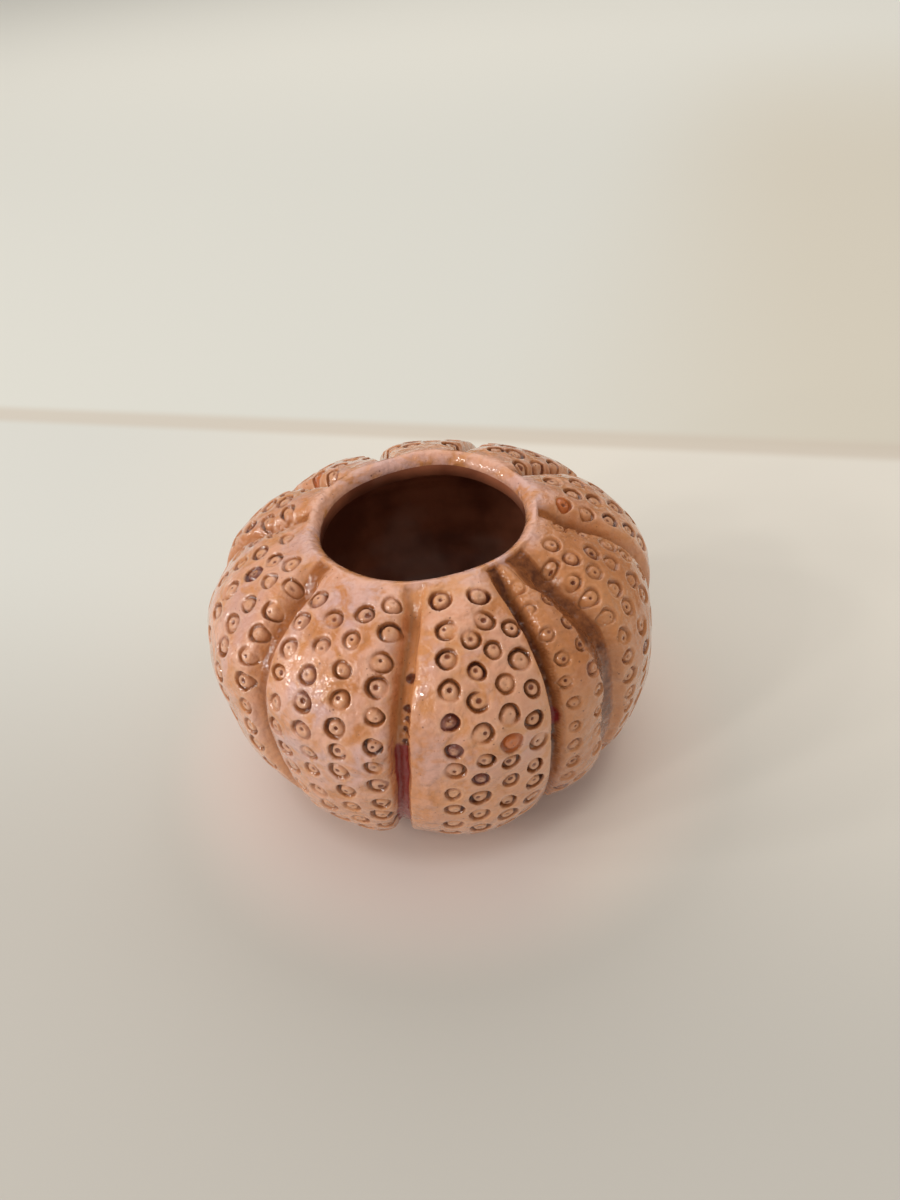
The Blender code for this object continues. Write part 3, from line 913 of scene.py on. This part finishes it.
    def ring(self, radius: float, height: float, segments: int, ridge: float = 0.0) -> list[int]:
        """Add one level circle of points.

        Args:
            radius: the circle's radius.
            height: its height.
            segments: how many points.
            ridge: how far the potter's fingers moved it outward.

        Returns:
            The points' indices.
        """
        turn = self.surface.seam + TAU * np.arange(segments) / segments
        uneven = radius + ridge * (1.0 + 0.5 * np.sin(3.0 * turn + 40.0 * height / self.profile.belly_height))
        level = np.full(segments, height)
        return self.add(np.stack([uneven * np.sin(turn), -uneven * np.cos(turn), level], -1))

    def stitch(self, lower: list[int], upper: list[int], coat: Coat) -> None:
        """Fill between two loops that start at one azimuth.

        Args:
            lower: the loop that lies first along the surface.
            upper: the next loop.
            coat: the finish on the faces.
        """
        if len(lower) == len(upper):
            for step in range(len(lower)):
                after = (step + 1) % len(lower)
                self.faces.append((lower[step], lower[after], upper[after], upper[step]))
                self.slots.append(int(coat))
            return
        low, up = 0, 0
        while low < len(lower) or up < len(upper):
            here, there = lower[low % len(lower)], upper[up % len(upper)]
            lower_next = (low + 1) * len(upper) <= (up + 1) * len(lower)
            if up == len(upper) or (low < len(lower) and lower_next):
                self.faces.append((here, lower[(low + 1) % len(lower)], there))
                low += 1
            else:
                self.faces.append((here, upper[(up + 1) % len(upper)], there))
                up += 1
            self.slots.append(int(coat))

    def sweep(self, last: list[int], circles: Iterable[tuple[float, ...]], segments: int, coat: Coat,
              facing_down: bool = False) -> list[int]:
        """Carry the surface on over level circles.

        Args:
            last: the loop to start from.
            circles: each circle's radius, height and, inside, how far it is ridged.
            segments: how many points a circle has.
            coat: the finish on the faces.
            facing_down: whether the surface runs inward under the foot.

        Returns:
            The last circle's indices.
        """
        for circle in circles:
            radius, height, *ridge = circle
            loop = self.ring(radius, height, segments, *ridge)
            lower, upper = (loop, last) if facing_down else (last, loop)
            self.stitch(lower, upper, coat)
            last = loop
        return last

    def cap(self, loop: list[int], height: float, coat: Coat, upward: bool) -> None:
        """Close a loop with triangles to its middle.

        Args:
            loop: the indices round the hole.
            height: the middle's height.
            coat: the finish on the faces.
            upward: whether the cap faces up.
        """
        hub = self.add(np.array([[0.0, 0.0, height]]))[0]
        for one, two in zip(loop, loop[1:] + loop[:1]):
            self.faces.append((one, two, hub) if upward else (two, one, hub))
            self.slots.append(int(coat))

    def shape_by_hand(self, points: np.ndarray) -> np.ndarray:
        """Squeeze the whole form a little out of round, with the foot left flat.

        Args:
            points: vertices of the body.

        Returns:
            The moved vertices.
        """
        radius = np.hypot(points[:, 0], points[:, 1])
        turn = np.arctan2(points[:, 0], -points[:, 1])
        up = smooth((points[:, 2] - self.profile.foot_height) / (2.0 * self.profile.belly_above_foot))
        squeeze = np.sin(2.0 * turn + 4.36) + 0.6 * np.sin(3.0 * turn + 5.8 + 2.0 * up)
        grown = radius + self.hand_squeeze * squeeze * radius / self.profile.belly_radius * smooth(2.0 * up)
        lift = self.lip_wave * up ** 2 * (np.sin(2.0 * turn + 1.9) + 0.5 * np.sin(5.0 * turn))
        return np.stack([grown * np.sin(turn), -grown * np.cos(turn), points[:, 2] + lift], -1)

    def build(self) -> bpy.types.Object:
        """Make the mesh and its glaze masks.

        Returns:
            The body's object, with no materials yet.
        """
        profile, surface = self.profile, self.surface
        azimuth, run, rows = self.outer_places()
        masks = Masks.clear(len(azimuth))
        sink = surface.relief(azimuth, run, masks) + surface.impressions(azimuth, run, masks)
        radius = profile.read(profile.radius, run) - sink * profile.read(profile.normal_r, run)
        height = profile.read(profile.height, run) - sink * profile.read(profile.normal_z, run)
        self.add(np.stack([radius * np.sin(azimuth), -radius * np.cos(azimuth), height], -1))

        flat = [Vector(pair) for pair in zip(azimuth.tolist(), profile.read(profile.flat, run).tolist())]
        found = geometry.delaunay_2d_cdt(flat, [], [], 0, 1e-7)
        origin = [sources[0] for sources in found[3]]
        joined = dict(zip([rows["foot"][-1], rows["lip"][-1], *rows["right"]],
                          [rows["foot"][0], rows["lip"][0], *rows["left"]]))
        for corners in found[2]:
            self.faces.append(tuple(int(joined.get(origin[corner], origin[corner])) for corner in corners))
            self.slots.append(int(Coat.OUTSIDE))

        last = [int(index) for index in rows["lip"][:-1]]
        last = self.sweep(last, profile.lip_points(self.lip_steps), self.rim_segments, Coat.OUTSIDE)
        hollow = profile.hollow_points(self.hollow_steps)
        ridged = [(*place, self.throwing_ridge * math.sin(step * self.ridge_turn) * min(1.0, step / 3.0))
                  for step, place in enumerate(hollow)]
        last = self.sweep(last, ridged, self.hollow_segments, Coat.INSIDE)
        floor_radius, floor_height = hollow[-1]
        floor = [(floor_radius * share, floor_height - self.throwing_ridge * (1.0 - share))
                 for share in self.floor_levels]
        last = self.sweep(last, floor, self.floor_segments, Coat.INSIDE)
        self.cap(last, floor_height - self.throwing_ridge, Coat.INSIDE, True)

        last = [int(index) for index in rows["foot"][:-1]]
        rim_radius = float(profile.radius[0])
        inner = rim_radius - profile.foot_ring_width
        foot = [(rim_radius - profile.foot_ring_width * step / self.foot_steps, profile.foot_height)
                for step in range(1, self.foot_steps + 1)]
        for step in range(1, self.foot_steps + 1):
            turn = 0.5 * math.pi * step / self.foot_steps
            foot.append((inner - profile.foot_recess * math.sin(turn),
                         profile.foot_height + profile.foot_recess * (1.0 - math.cos(turn))))
        foot += [(share * (inner - profile.foot_recess), profile.foot_height + profile.foot_recess)
                 for share in self.base_levels]
        last = self.sweep(last, foot, self.hollow_segments, Coat.BARE, facing_down=True)
        self.cap(last, foot[-1][1], Coat.BARE, False)
        return self.link(masks)

    def link(self, masks: Masks) -> bpy.types.Object:
        """Turn the gathered points and faces into an object.

        Args:
            masks: the glaze masks of the outside's vertices.

        Returns:
            The object.
        """
        points = self.shape_by_hand(np.concatenate(self.vertices))
        used = np.zeros(len(points), bool)
        for face in self.faces:
            used[list(face)] = True
        renumbered = np.cumsum(used) - 1
        faces = [tuple(int(renumbered[corner]) for corner in face) for face in self.faces]
        data = bpy.data.meshes.new("glazed_body")
        data.from_pydata(points[used].tolist(), [], faces)
        data.polygons.foreach_set("material_index", self.slots)
        data.polygons.foreach_set("use_smooth", [True] * len(faces))
        for name in Masks.NAMES:
            row = np.zeros(len(points), np.float32)
            values = getattr(masks, name)
            row[:len(values)] = values
            # The lip gets pearly glaze and painted sheen.
            if name == "pearl_and_sheen":
                row[len(values):len(values) + self.lip_steps * self.rim_segments] = self.lip_pearl_and_sheen
            layer = data.attributes.new(name, "FLOAT", "POINT")
            layer.data.foreach_set("value", row[used])
        data.update()
        return put("glazed_body", data)


class Graph:
    """A shorthand for a material's nodes."""

    def __init__(self, name: str) -> None:
        """Start a material with one Principled shader.

        Args:
            name: the material's name.
        """
        self.material = bpy.data.materials.new(name)
        self.material.use_nodes = True
        self.tree = self.material.node_tree
        self.shader = self.tree.nodes["Principled BSDF"]
        self.place = self.tree.nodes.new("ShaderNodeTexCoord").outputs["Object"]

    def join(self, value: object, socket: bpy.types.NodeSocket) -> None:
        """Link an output to a socket, or set a plain value on it."""
        if isinstance(value, bpy.types.NodeSocket):
            self.tree.links.new(value, socket)
        elif isinstance(value, tuple):
            socket.default_value = (*value, 1.0)[:len(socket.default_value)]
        else:
            socket.default_value = value

    def noise(self, scale: float, detail: float = 3.0, roughness: float = 0.5,
              distortion: float = 0.0) -> bpy.types.NodeSocket:
        """A noise read in the object's own place.

        Args:
            scale: waves per metre.
            detail: octaves.
            roughness: weight of the finer octaves.
            distortion: how far it is warped.

        Returns:
            The noise value from 0 to 1.
        """
        node = self.tree.nodes.new("ShaderNodeTexNoise")
        self.join(self.place, node.inputs["Vector"])
        node.inputs["Scale"].default_value = scale
        node.inputs["Detail"].default_value = detail
        node.inputs["Roughness"].default_value = roughness
        node.inputs["Distortion"].default_value = distortion
        return node.outputs["Fac"]

    def specks(self, scale: float, size: float, share: float) -> bpy.types.NodeSocket:
        """Small round specks strewn at random.

        Args:
            scale: cells per metre.
            size: a speck's radius as a share of a cell.
            share: the share of cells that hold one.

        Returns:
            1 on a speck and 0 off it.
        """
        cells = self.tree.nodes.new("ShaderNodeTexVoronoi")
        self.join(self.place, cells.inputs["Vector"])
        cells.inputs["Scale"].default_value = scale
        near = self.ramp(cells.outputs["Distance"], size, 0.35 * size)
        split = self.tree.nodes.new("ShaderNodeSeparateColor")
        self.join(cells.outputs["Color"], split.inputs[0])
        return self.times(near, self.ramp(split.outputs[0], share, share - 0.02))

    def mask(self, name: str) -> bpy.types.NodeSocket:
        """One of the mesh's own masks."""
        node = self.tree.nodes.new("ShaderNodeAttribute")
        node.attribute_name = name
        return node.outputs["Fac"]

    def maths(self, operation: str, one: object, two: object) -> bpy.types.NodeSocket:
        """Work out a value from two others.

        Args:
            operation: Blender's name for it.
            one: the first value.
            two: the second value.

        Returns:
            The result.
        """
        node = self.tree.nodes.new("ShaderNodeMath")
        node.operation = operation
        self.join(one, node.inputs[0])
        self.join(two, node.inputs[1])
        return node.outputs[0]

    def times(self, one: object, two: object) -> bpy.types.NodeSocket:
        """The product of two values."""
        return self.maths("MULTIPLY", one, two)

    def plus(self, one: object, two: object) -> bpy.types.NodeSocket:
        """The sum of two values."""
        return self.maths("ADD", one, two)

    def ramp(self, value: object, low: float, high: float) -> bpy.types.NodeSocket:
        """Ease a value from 0 at low to 1 at high, which may lie below low."""
        node = self.tree.nodes.new("ShaderNodeMapRange")
        node.interpolation_type = "SMOOTHSTEP"
        flip = high < low
        self.join(value, node.inputs["Value"])
        node.inputs["From Min"].default_value = high if flip else low
        node.inputs["From Max"].default_value = low if flip else high
        node.inputs["To Min"].default_value = 1.0 if flip else 0.0
        node.inputs["To Max"].default_value = 0.0 if flip else 1.0
        return node.outputs["Result"]

    def mix(self, share: object, one: object, two: object) -> bpy.types.NodeSocket:
        """Blend two colours by a share.

        Args:
            share: 0 for the first, 1 for the second.
            one: a colour or an output.
            two: a colour or an output.

        Returns:
            The blended colour.
        """
        node = self.tree.nodes.new("ShaderNodeMix")
        node.data_type = "RGBA"
        self.join(share, node.inputs["Factor"])
        colour_a, colour_b = (socket for socket in node.inputs if socket.type == "RGBA")
        self.join(one, colour_a)
        self.join(two, colour_b)
        return next(socket for socket in node.outputs if socket.type == "RGBA")

    def bump(self, height: object, distance: float, strength: float = 1.0,
             under: bpy.types.NodeSocket | None = None) -> bpy.types.NodeSocket:
        """Turn a height into a bent normal.

        Args:
            height: the height, from 0 to 1.
            distance: what a height of 1 stands for, in metres.
            strength: how much of it shows.
            under: a normal that this one lies on.

        Returns:
            The normal.
        """
        node = self.tree.nodes.new("ShaderNodeBump")
        node.inputs["Strength"].default_value = strength
        node.inputs["Distance"].default_value = distance
        self.join(height, node.inputs["Height"])
        if under is not None:
            self.join(under, node.inputs["Normal"])
        return node.outputs["Normal"]

    def finish(self, **sockets: object) -> bpy.types.Material:
        """Set the shader's sockets by name, with _ for a space.

        Args:
            **sockets: values or outputs, by the socket's name.

        Returns:
            The material.
        """
        for name, value in sockets.items():
            self.join(value, self.shader.inputs[name.replace("_", " ")])
        return self.material


@dataclass(frozen=True)
class PeachGlaze:
    """Glossy translucent peach glaze that pools brown and breaks pearly, its pearly colour partly a painted
    sheen.
    """

    light: Colour = linear(208, 141, 91)
    deep: Colour = linear(195, 125, 75)
    pearl_and_sheen: Colour = linear(223, 167, 143)
    lilac: Colour = linear(209, 166, 158)
    rim_tint: Colour = linear(226, 176, 142)
    tan: Colour = linear(158, 92, 48)
    brown: Colour = linear(90, 44, 24)
    wine: Colour = linear(136, 10, 8)
    plum: Colour = linear(94, 26, 32)
    amber: Colour = linear(188, 92, 30)
    pit: Colour = linear(126, 66, 40)
    speck: Colour = linear(104, 62, 44)
    roughness: float = 0.16
    cloud_waves: float = 230.0
    drift_waves: float = 60.0
    fine_waves: float = 520.0
    milk_waves: float = 90.0
    dent_waves: float = 230.0
    dent_depth: float = 1.5 * MM
    grain_waves: float = 640.0
    grain_depth: float = 0.4 * MM
    skin_waves: float = 420.0
    skin_depth: float = 0.55 * MM
    bump_strength: float = 0.9

    def material(self) -> bpy.types.Material:
        """Build the glaze's nodes."""
        graph = Graph("peach_glaze")
        cloud = graph.noise(self.cloud_waves, 3.0, 0.55, 0.6)
        drift = graph.noise(self.drift_waves, 3.0)
        fine = graph.noise(self.fine_waves, 4.0, 0.65)
        colour = graph.mix(graph.ramp(drift, 0.36, 0.62), self.deep, self.light)
        # Pearly colour, partly painted sheen.
        pearly_sheen = graph.mix(graph.ramp(graph.noise(self.milk_waves, 2.0), 0.42, 0.6), self.pearl_and_sheen, self.lilac)
        pearl_and_sheen_share = graph.times(graph.ramp(cloud, 0.34, 0.58), graph.mask("pearl_and_sheen"))
        colour = graph.mix(graph.times(pearl_and_sheen_share, 0.85), colour, pearly_sheen)
        # Lighter on the ring burrs and island tops.
        colour = graph.mix(graph.times(graph.mask("rim"), 0.55), colour, self.rim_tint)
        wavering = graph.times(graph.maths("SUBTRACT", fine, 0.5), 0.5)
        pool = graph.mask("pool")
        uneven = graph.times(pool, graph.plus(1.0, graph.times(wavering, 2.4)))
        colour = graph.mix(graph.ramp(uneven, 0.04, 0.48), colour, self.tan)
        colour = graph.mix(graph.ramp(uneven, 0.42, 1.0), colour, self.brown)
        amber_share = graph.times(self.edge(graph, "amber", wavering), 0.78)
        colour = graph.mix(amber_share, colour, self.amber)
        plum_share = graph.times(self.edge(graph, "plum", wavering), 0.8)
        colour = graph.mix(plum_share, colour, self.plum)
        colour = graph.mix(self.edge(graph, "wine", wavering), colour, self.wine)
        colour = graph.mix(self.edge(graph, "pit", wavering), colour, self.pit)
        dots = graph.plus(graph.specks(620.0, 0.17, 0.2), graph.specks(1150.0, 0.18, 0.16))
        colour = graph.mix(graph.times(dots, 0.7), colour, self.speck)
        normal = graph.bump(graph.noise(self.dent_waves, 2.0), self.dent_depth, self.bump_strength)
        grain = graph.noise(self.grain_waves, 3.0, 0.6)
        normal = graph.bump(grain, self.grain_depth, self.bump_strength, normal)
        skin = graph.bump(graph.noise(self.skin_waves, 2.0), self.skin_depth, self.bump_strength)
        rough = graph.plus(self.roughness, graph.times(graph.noise(150.0), 0.16))
        rough = graph.plus(rough, graph.times(graph.mask("wine"), 0.4))
        return graph.finish(Base_Color=colour, Roughness=rough, Normal=normal, Coat_Weight=0.9,
                            Coat_Roughness=0.05, Coat_Normal=skin, IOR=1.45)

    def edge(self, graph: Graph, name: str, wavering: bpy.types.NodeSocket) -> bpy.types.NodeSocket:
        """A mask whose edge wavers as running glaze does.

        Args:
            graph: the material that is built.
            name: the mask's name.
            wavering: a noise round 0.

        Returns:
            The share of the mask's colour.
        """
        return graph.ramp(graph.plus(graph.mask(name), wavering), 0.3, 0.7)


@dataclass(frozen=True)
class HollowGlaze:
    """Thin red-brown glaze over the terracotta inside."""

    clay: Colour = linear(164, 98, 68)
    dark: Colour = linear(120, 66, 44)
    pale: Colour = linear(190, 146, 126)

    def material(self) -> bpy.types.Material:
        """Build the inside's nodes."""
        graph = Graph("hollow_glaze")
        colour = graph.mix(graph.ramp(graph.noise(70.0, 4.0), 0.35, 0.65), self.clay, self.dark)
        colour = graph.mix(graph.times(graph.ramp(graph.noise(45.0, 3.0), 0.58, 0.72), 0.4),
                           colour, self.pale)
        normal = graph.bump(graph.noise(300.0, 3.0), 0.0002, 0.5)
        rough = graph.plus(0.3, graph.times(graph.noise(120.0), 0.25))
        return graph.finish(Base_Color=colour, Roughness=rough, Normal=normal)


@dataclass(frozen=True)
class BareClay:
    """Unglazed fired clay under the foot."""

    clay: Colour = linear(176, 116, 84)
    worn: Colour = linear(150, 96, 70)
    grit: Colour = linear(110, 70, 52)

    def material(self) -> bpy.types.Material:
        """Build the bare clay's nodes."""
        graph = Graph("bare_clay")
        grain = graph.noise(900.0, 4.0, 0.7)
        colour = graph.mix(graph.ramp(graph.noise(80.0, 4.0), 0.35, 0.65), self.clay, self.worn)
        colour = graph.mix(graph.specks(900.0, 0.2, 0.2), colour, self.grit)
        return graph.finish(Base_Color=colour, Roughness=0.88, Normal=graph.bump(grain, 0.00015, 0.6))


@dataclass(frozen=True)
class PressedFelt:
    """Dense brown wool felt."""

    wool: Colour = linear(84, 66, 54)
    fleck: Colour = linear(120, 98, 82)

    def material(self) -> bpy.types.Material:
        """Build the felt's nodes."""
        graph = Graph("pressed_felt")
        fibre = graph.noise(2600.0, 5.0, 0.75, 1.2)
        colour = graph.mix(graph.ramp(fibre, 0.35, 0.7), self.wool, self.fleck)
        return graph.finish(Base_Color=colour, Roughness=0.96, Normal=graph.bump(fibre, 0.0002, 0.8),
                            Sheen_Weight=0.3)


@dataclass
class VaseBody:
    """The fired pottery body."""

    node: str = "vase_body"

    def build(self) -> bpy.types.Object:
        """Build the body, dress it and set it in place of its solid.

        Returns:
            The body's object.
        """
        foot_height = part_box(self.node)[0][2]
        profile = VaseProfile(foot_height)
        surface = VaseSurface(profile)
        body = VaseMesh(profile, surface).build()
        for finish in (PeachGlaze(), HollowGlaze(), BareClay()):
            body.data.materials.append(finish.material())
        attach(body, "root")
        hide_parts(self.node)
        LOG.info("body: %d stamps, %d faces", len(surface.stamps), len(body.data.polygons))
        return body


@dataclass
class FootPads:
    """The felt pads stuck under the foot ring."""

    count: int = 4
    segments: int = 48
    inner_shares: tuple[float, ...] = (0.3, 0.6, 0.85)
    edge_round: float = 0.35 * MM
    edge_steps: int = 4
    fuzz: float = 0.05 * MM
    seed: int = 5

    def build(self) -> list[bpy.types.Object]:
        """Build every pad where its solid lies.

        Returns:
            The pads.
        """
        felt = PressedFelt().material()
        return [self.build_pad(number, felt) for number in range(1, self.count + 1)]

    def build_pad(self, number: int, felt: bpy.types.Material) -> bpy.types.Object:
        """Build one pad.

        Args:
            number: which pad, from 1.
            felt: the felt's material.

        Returns:
            The pad.
        """
        node = "foot_pad_%d" % number
        low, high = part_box(node)
        middle = (low + high) / 2.0
        radius, thickness = (high.x - low.x) / 2.0, high.z - low.z
        hand = random.Random(self.seed + number)
        outline = [(radius * share, 0.0) for share in self.inner_shares]
        for step in range(self.edge_steps + 1):
            turn = 0.5 * math.pi * step / self.edge_steps
            outline.append((radius - self.edge_round * (1.0 - math.sin(turn)),
                            self.edge_round * (1.0 - math.cos(turn))))
        outline += [(across, thickness - height) for across, height in reversed(outline)]
        points = [(0.0, 0.0, 0.0)]
        for across, height in outline:
            for step in range(self.segments):
                turn = TAU * step / self.segments
                out = across - self.fuzz * hand.random() * (across > 0.8 * radius)
                points.append((out * math.sin(turn), -out * math.cos(turn), height))
        points.append((0.0, 0.0, thickness))
        faces = []
        for row in range(len(outline) - 1):
            start = 1 + row * self.segments
            for step in range(self.segments):
                one, two = start + step, start + (step + 1) % self.segments
                faces.append((one, two, two + self.segments, one + self.segments))
        top = 1 + (len(outline) - 1) * self.segments
        for step in range(self.segments):
            after = (step + 1) % self.segments
            faces.append((1 + after, 1 + step, 0))
            faces.append((top + step, top + after, len(points) - 1))
        data = bpy.data.meshes.new("felt_%s" % node)
        data.from_pydata([(x + middle.x, y + middle.y, z + low.z) for x, y, z in points], [], faces)
        data.polygons.foreach_set("use_smooth", [True] * len(faces))
        data.materials.append(felt)
        pad = put("felt_%s" % node, data)
        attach(pad, "root")
        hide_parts(node)
        LOG.info("pad %d", number)
        return pad


@dataclass
class Studio:
    """Pale floor, soft light and the camera."""

    aim_aside: float = 3.6 * MM
    aim_above_belly: float = 0.63 * MM
    distance: float = 184.9 * MM
    pitch: float = 40.0
    roll: float = -6.3
    lens: float = 27.0
    sensor: float = 36.0
    clip_start: float = 10.0 * MM
    floor_size: float = 12.0
    floor_slant: float = 0.307
    wall_slant: float = 0.3
    back_band: tuple[float, float] = (-0.13, 0.03)
    near_band: tuple[float, float] = (-0.075, 0.055)
    lit_band: tuple[float, float] = (0.008, 0.032)
    bounce_glow_band: tuple[float, float] = (0.0044, 0.0016)
    contact_shadow_band: tuple[float, float] = (0.00165, 0.0012)
    dim_band: tuple[float, float] = (-0.04, 0.1)
    far_band: tuple[float, float] = (0.4, 0.95)
    # Painted shade: the floor darkens towards the camera.
    near_shade_paint: Colour = linear(189, 184, 175)
    # Painted light: a warm glow of light bounced off the vase, round its foot.
    bounce_glow_paint: Colour = linear(221, 207, 198)
    lit_paint: Colour = linear(230, 216, 203)
    # Painted shadow: darker where the floor meets the foot.
    contact_shadow_paint: Colour = linear(207, 190, 179)
    left_paint: Colour = linear(209, 207, 199)
    back_paint: Colour = linear(221, 214, 202)
    wall_paint: Colour = linear(212, 210, 201)
    dim_paint: Colour = linear(208, 200, 184)
    # Painted light: the far wall lighter.
    far_light_paint: Colour = linear(220, 217, 207)
    shade_paint: Colour = linear(198, 184, 167)
    ledge: float = 0.1329
    world_strength: float = 0.72
    backdrop: Colour = linear(226, 220, 209)
    mirrored: Colour = linear(78, 70, 58)
    daylight: Colour = (1.0, 0.985, 0.96)
    bounced: Colour = (1.0, 0.99, 0.97)
    lit_point: tuple[float, float, float] = (0.0, 0.0, 0.03)
    window_middle: tuple[float, float, float] = (-1.02, -0.37, 0.6)
    window_across: tuple[float, float, float] = (0.09, -0.23, 0.0)
    window_up: tuple[float, float, float] = (0.08, 0.04, 0.18)
    pane_rows: tuple[float, ...] = (-1.0, 0.0, 1.0)
    pane_columns: tuple[float, ...] = (-1.2, 0.0, 1.2)
    pane_size: float = 0.08
    pane_power: float = 0.8
    ceiling_place: tuple[float, float, float] = (0.05, 0.9, 1.2)
    ceiling_size: float = 1.5
    ceiling_power: float = 6.5

    def build(self, belly_height: float) -> None:
        """Set up everything round the vase.

        Args:
            belly_height: height of the vase's widest level, which the camera aims near.
        """
        self.build_floor()
        window = (self.window_middle, self.window_across, self.window_up)
        middle, across, up = (Vector(part) for part in window)
        for row in self.pane_rows:
            for column in self.pane_columns:
                pane = middle + row * up + column * across
                self.build_light("pane", pane, self.pane_size, self.pane_power, self.daylight)
        ceiling = Vector(self.ceiling_place)
        self.build_light("ceiling", ceiling, self.ceiling_size, self.ceiling_power, self.bounced)
        world = bpy.data.worlds.new("room")
        world.use_nodes = True
        tree = world.node_tree
        light = tree.nodes["Background"]
        light.inputs["Color"].default_value = (*self.daylight, 1.0)
        light.inputs["Strength"].default_value = self.world_strength
        ray = tree.nodes.new("ShaderNodeLightPath")
        last = light
        for kind, colour in (("Is Glossy Ray", self.mirrored), ("Is Camera Ray", self.backdrop)):
            other = tree.nodes.new("ShaderNodeBackground")
            other.inputs["Color"].default_value = (*colour, 1.0)
            other.inputs["Strength"].default_value = 1.0
            either = tree.nodes.new("ShaderNodeMixShader")
            tree.links.new(ray.outputs[kind], either.inputs[0])
            tree.links.new(last.outputs[0], either.inputs[1])
            tree.links.new(other.outputs[0], either.inputs[2])
            last = either
        tree.links.new(last.outputs[0], tree.nodes["World Output"].inputs["Surface"])
        bpy.context.scene.world = world
        self.build_camera(belly_height)

    def build_floor(self) -> None:
        """Lay the pale floor, with light and shade painted into its colour."""
        half = self.floor_size / 2.0
        data = bpy.data.meshes.new("floor")
        data.from_pydata([(-half, -half, 0.0), (half, -half, 0.0), (half, half, 0.0), (-half, half, 0.0)],
                         [], [(0, 1, 2, 3)])
        graph = Graph("pale_floor")
        split = graph.tree.nodes.new("ShaderNodeSeparateXYZ")
        graph.join(graph.place, split.inputs[0])
        aside = split.outputs["X"]
        depth = graph.plus(split.outputs["Y"], graph.times(aside, self.floor_slant))
        # Painted shade: the floor is darker towards the camera than behind.
        back = graph.mix(graph.ramp(aside, *self.back_band), self.left_paint, self.back_paint)
        colour = graph.mix(graph.ramp(depth, *self.near_band), self.near_shade_paint, back)
        away = graph.plus(graph.times(aside, aside), graph.times(split.outputs["Y"], split.outputs["Y"]))
        # Painted light: a warm glow round the foot, lighter to the right.
        bounce_glow = graph.mix(graph.ramp(aside, *self.lit_band), self.bounce_glow_paint, self.lit_paint)
        colour = graph.mix(graph.ramp(away, *self.bounce_glow_band), colour, bounce_glow)
        # Painted shadow: darker where the floor meets the foot.
        colour = graph.mix(graph.ramp(away, *self.contact_shadow_band), colour, self.contact_shadow_paint)
        # A wall painted on the floor beyond the ledge, with painted shade dimming it to the right and painted
        # light brightening it far back.
        beside = graph.maths("SUBTRACT", aside, graph.times(depth, self.wall_slant))
        wall = graph.mix(graph.ramp(beside, *self.dim_band), self.wall_paint, self.dim_paint)
        wall = graph.mix(graph.ramp(depth, *self.far_band), wall, self.far_light_paint)
        colour = graph.mix(graph.ramp(depth, self.ledge - 0.005, self.ledge + 0.009), colour, wall)
        band = graph.times(graph.ramp(depth, self.ledge - 0.008, self.ledge - 0.002),
                           graph.ramp(depth, self.ledge + 0.009, self.ledge + 0.002))
        colour = graph.mix(graph.times(band, 0.6), colour, self.shade_paint)
        data.materials.append(graph.finish(Base_Color=colour, Roughness=0.8, Specular_IOR_Level=0.15))
        floor = put("floor", data)

    def build_light(self, name: str, place: Vector, size: float, power: float, colour: Colour) -> None:
        """Hang one soft square light that faces the vase.

        Args:
            name: the light's name.
            place: where it hangs.
            size: its side.
            power: its power in watts.
            colour: its colour.
        """
        lamp = bpy.data.lights.new(name, "AREA")
        lamp.shape, lamp.size, lamp.energy, lamp.color = "SQUARE", size, power, colour
        light = put(name, lamp)
        light.location = place
        light.rotation_euler = (Vector(self.lit_point) - place).to_track_quat("-Z", "Y").to_euler()

    def build_camera(self, belly_height: float) -> None:
        """Place the camera at the photograph's angle.

        Args:
            belly_height: height of the vase's widest level.
        """
        pitch, roll = math.radians(self.pitch), math.radians(self.roll)
        forward = Vector((0.0, math.cos(pitch), -math.sin(pitch)))
        right = Vector((1.0, 0.0, 0.0))
        up = right.cross(forward)
        tilted_right = math.cos(roll) * right + math.sin(roll) * up
        tilted_up = math.cos(roll) * up - math.sin(roll) * right
        aim = Vector((self.aim_aside, 0.0, belly_height + self.aim_above_belly))
        place = aim - self.distance * forward
        turn = Matrix((tilted_right, tilted_up, -forward)).transposed().to_4x4()
        lens = bpy.data.cameras.new("camera")
        lens.lens, lens.sensor_width, lens.sensor_fit = self.lens, self.sensor, "AUTO"
        lens.clip_start = self.clip_start
        camera = put("camera", lens)
        camera.matrix_world = Matrix.Translation(place) @ turn
        bpy.context.scene.camera = camera


def main() -> None:
    """Build the vase and the studio round it."""
    logging.basicConfig(level=logging.INFO, format="%(name)s: %(message)s")
    VaseBody().build()
    FootPads().build()
    belly_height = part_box("vase_body")[0][2] + VaseProfile.belly_above_foot
    Studio().build(belly_height)
    bpy.context.scene.view_settings.view_transform = "Standard"
    LOG.info("studio ready")


if __name__ == "__main__":
    main()
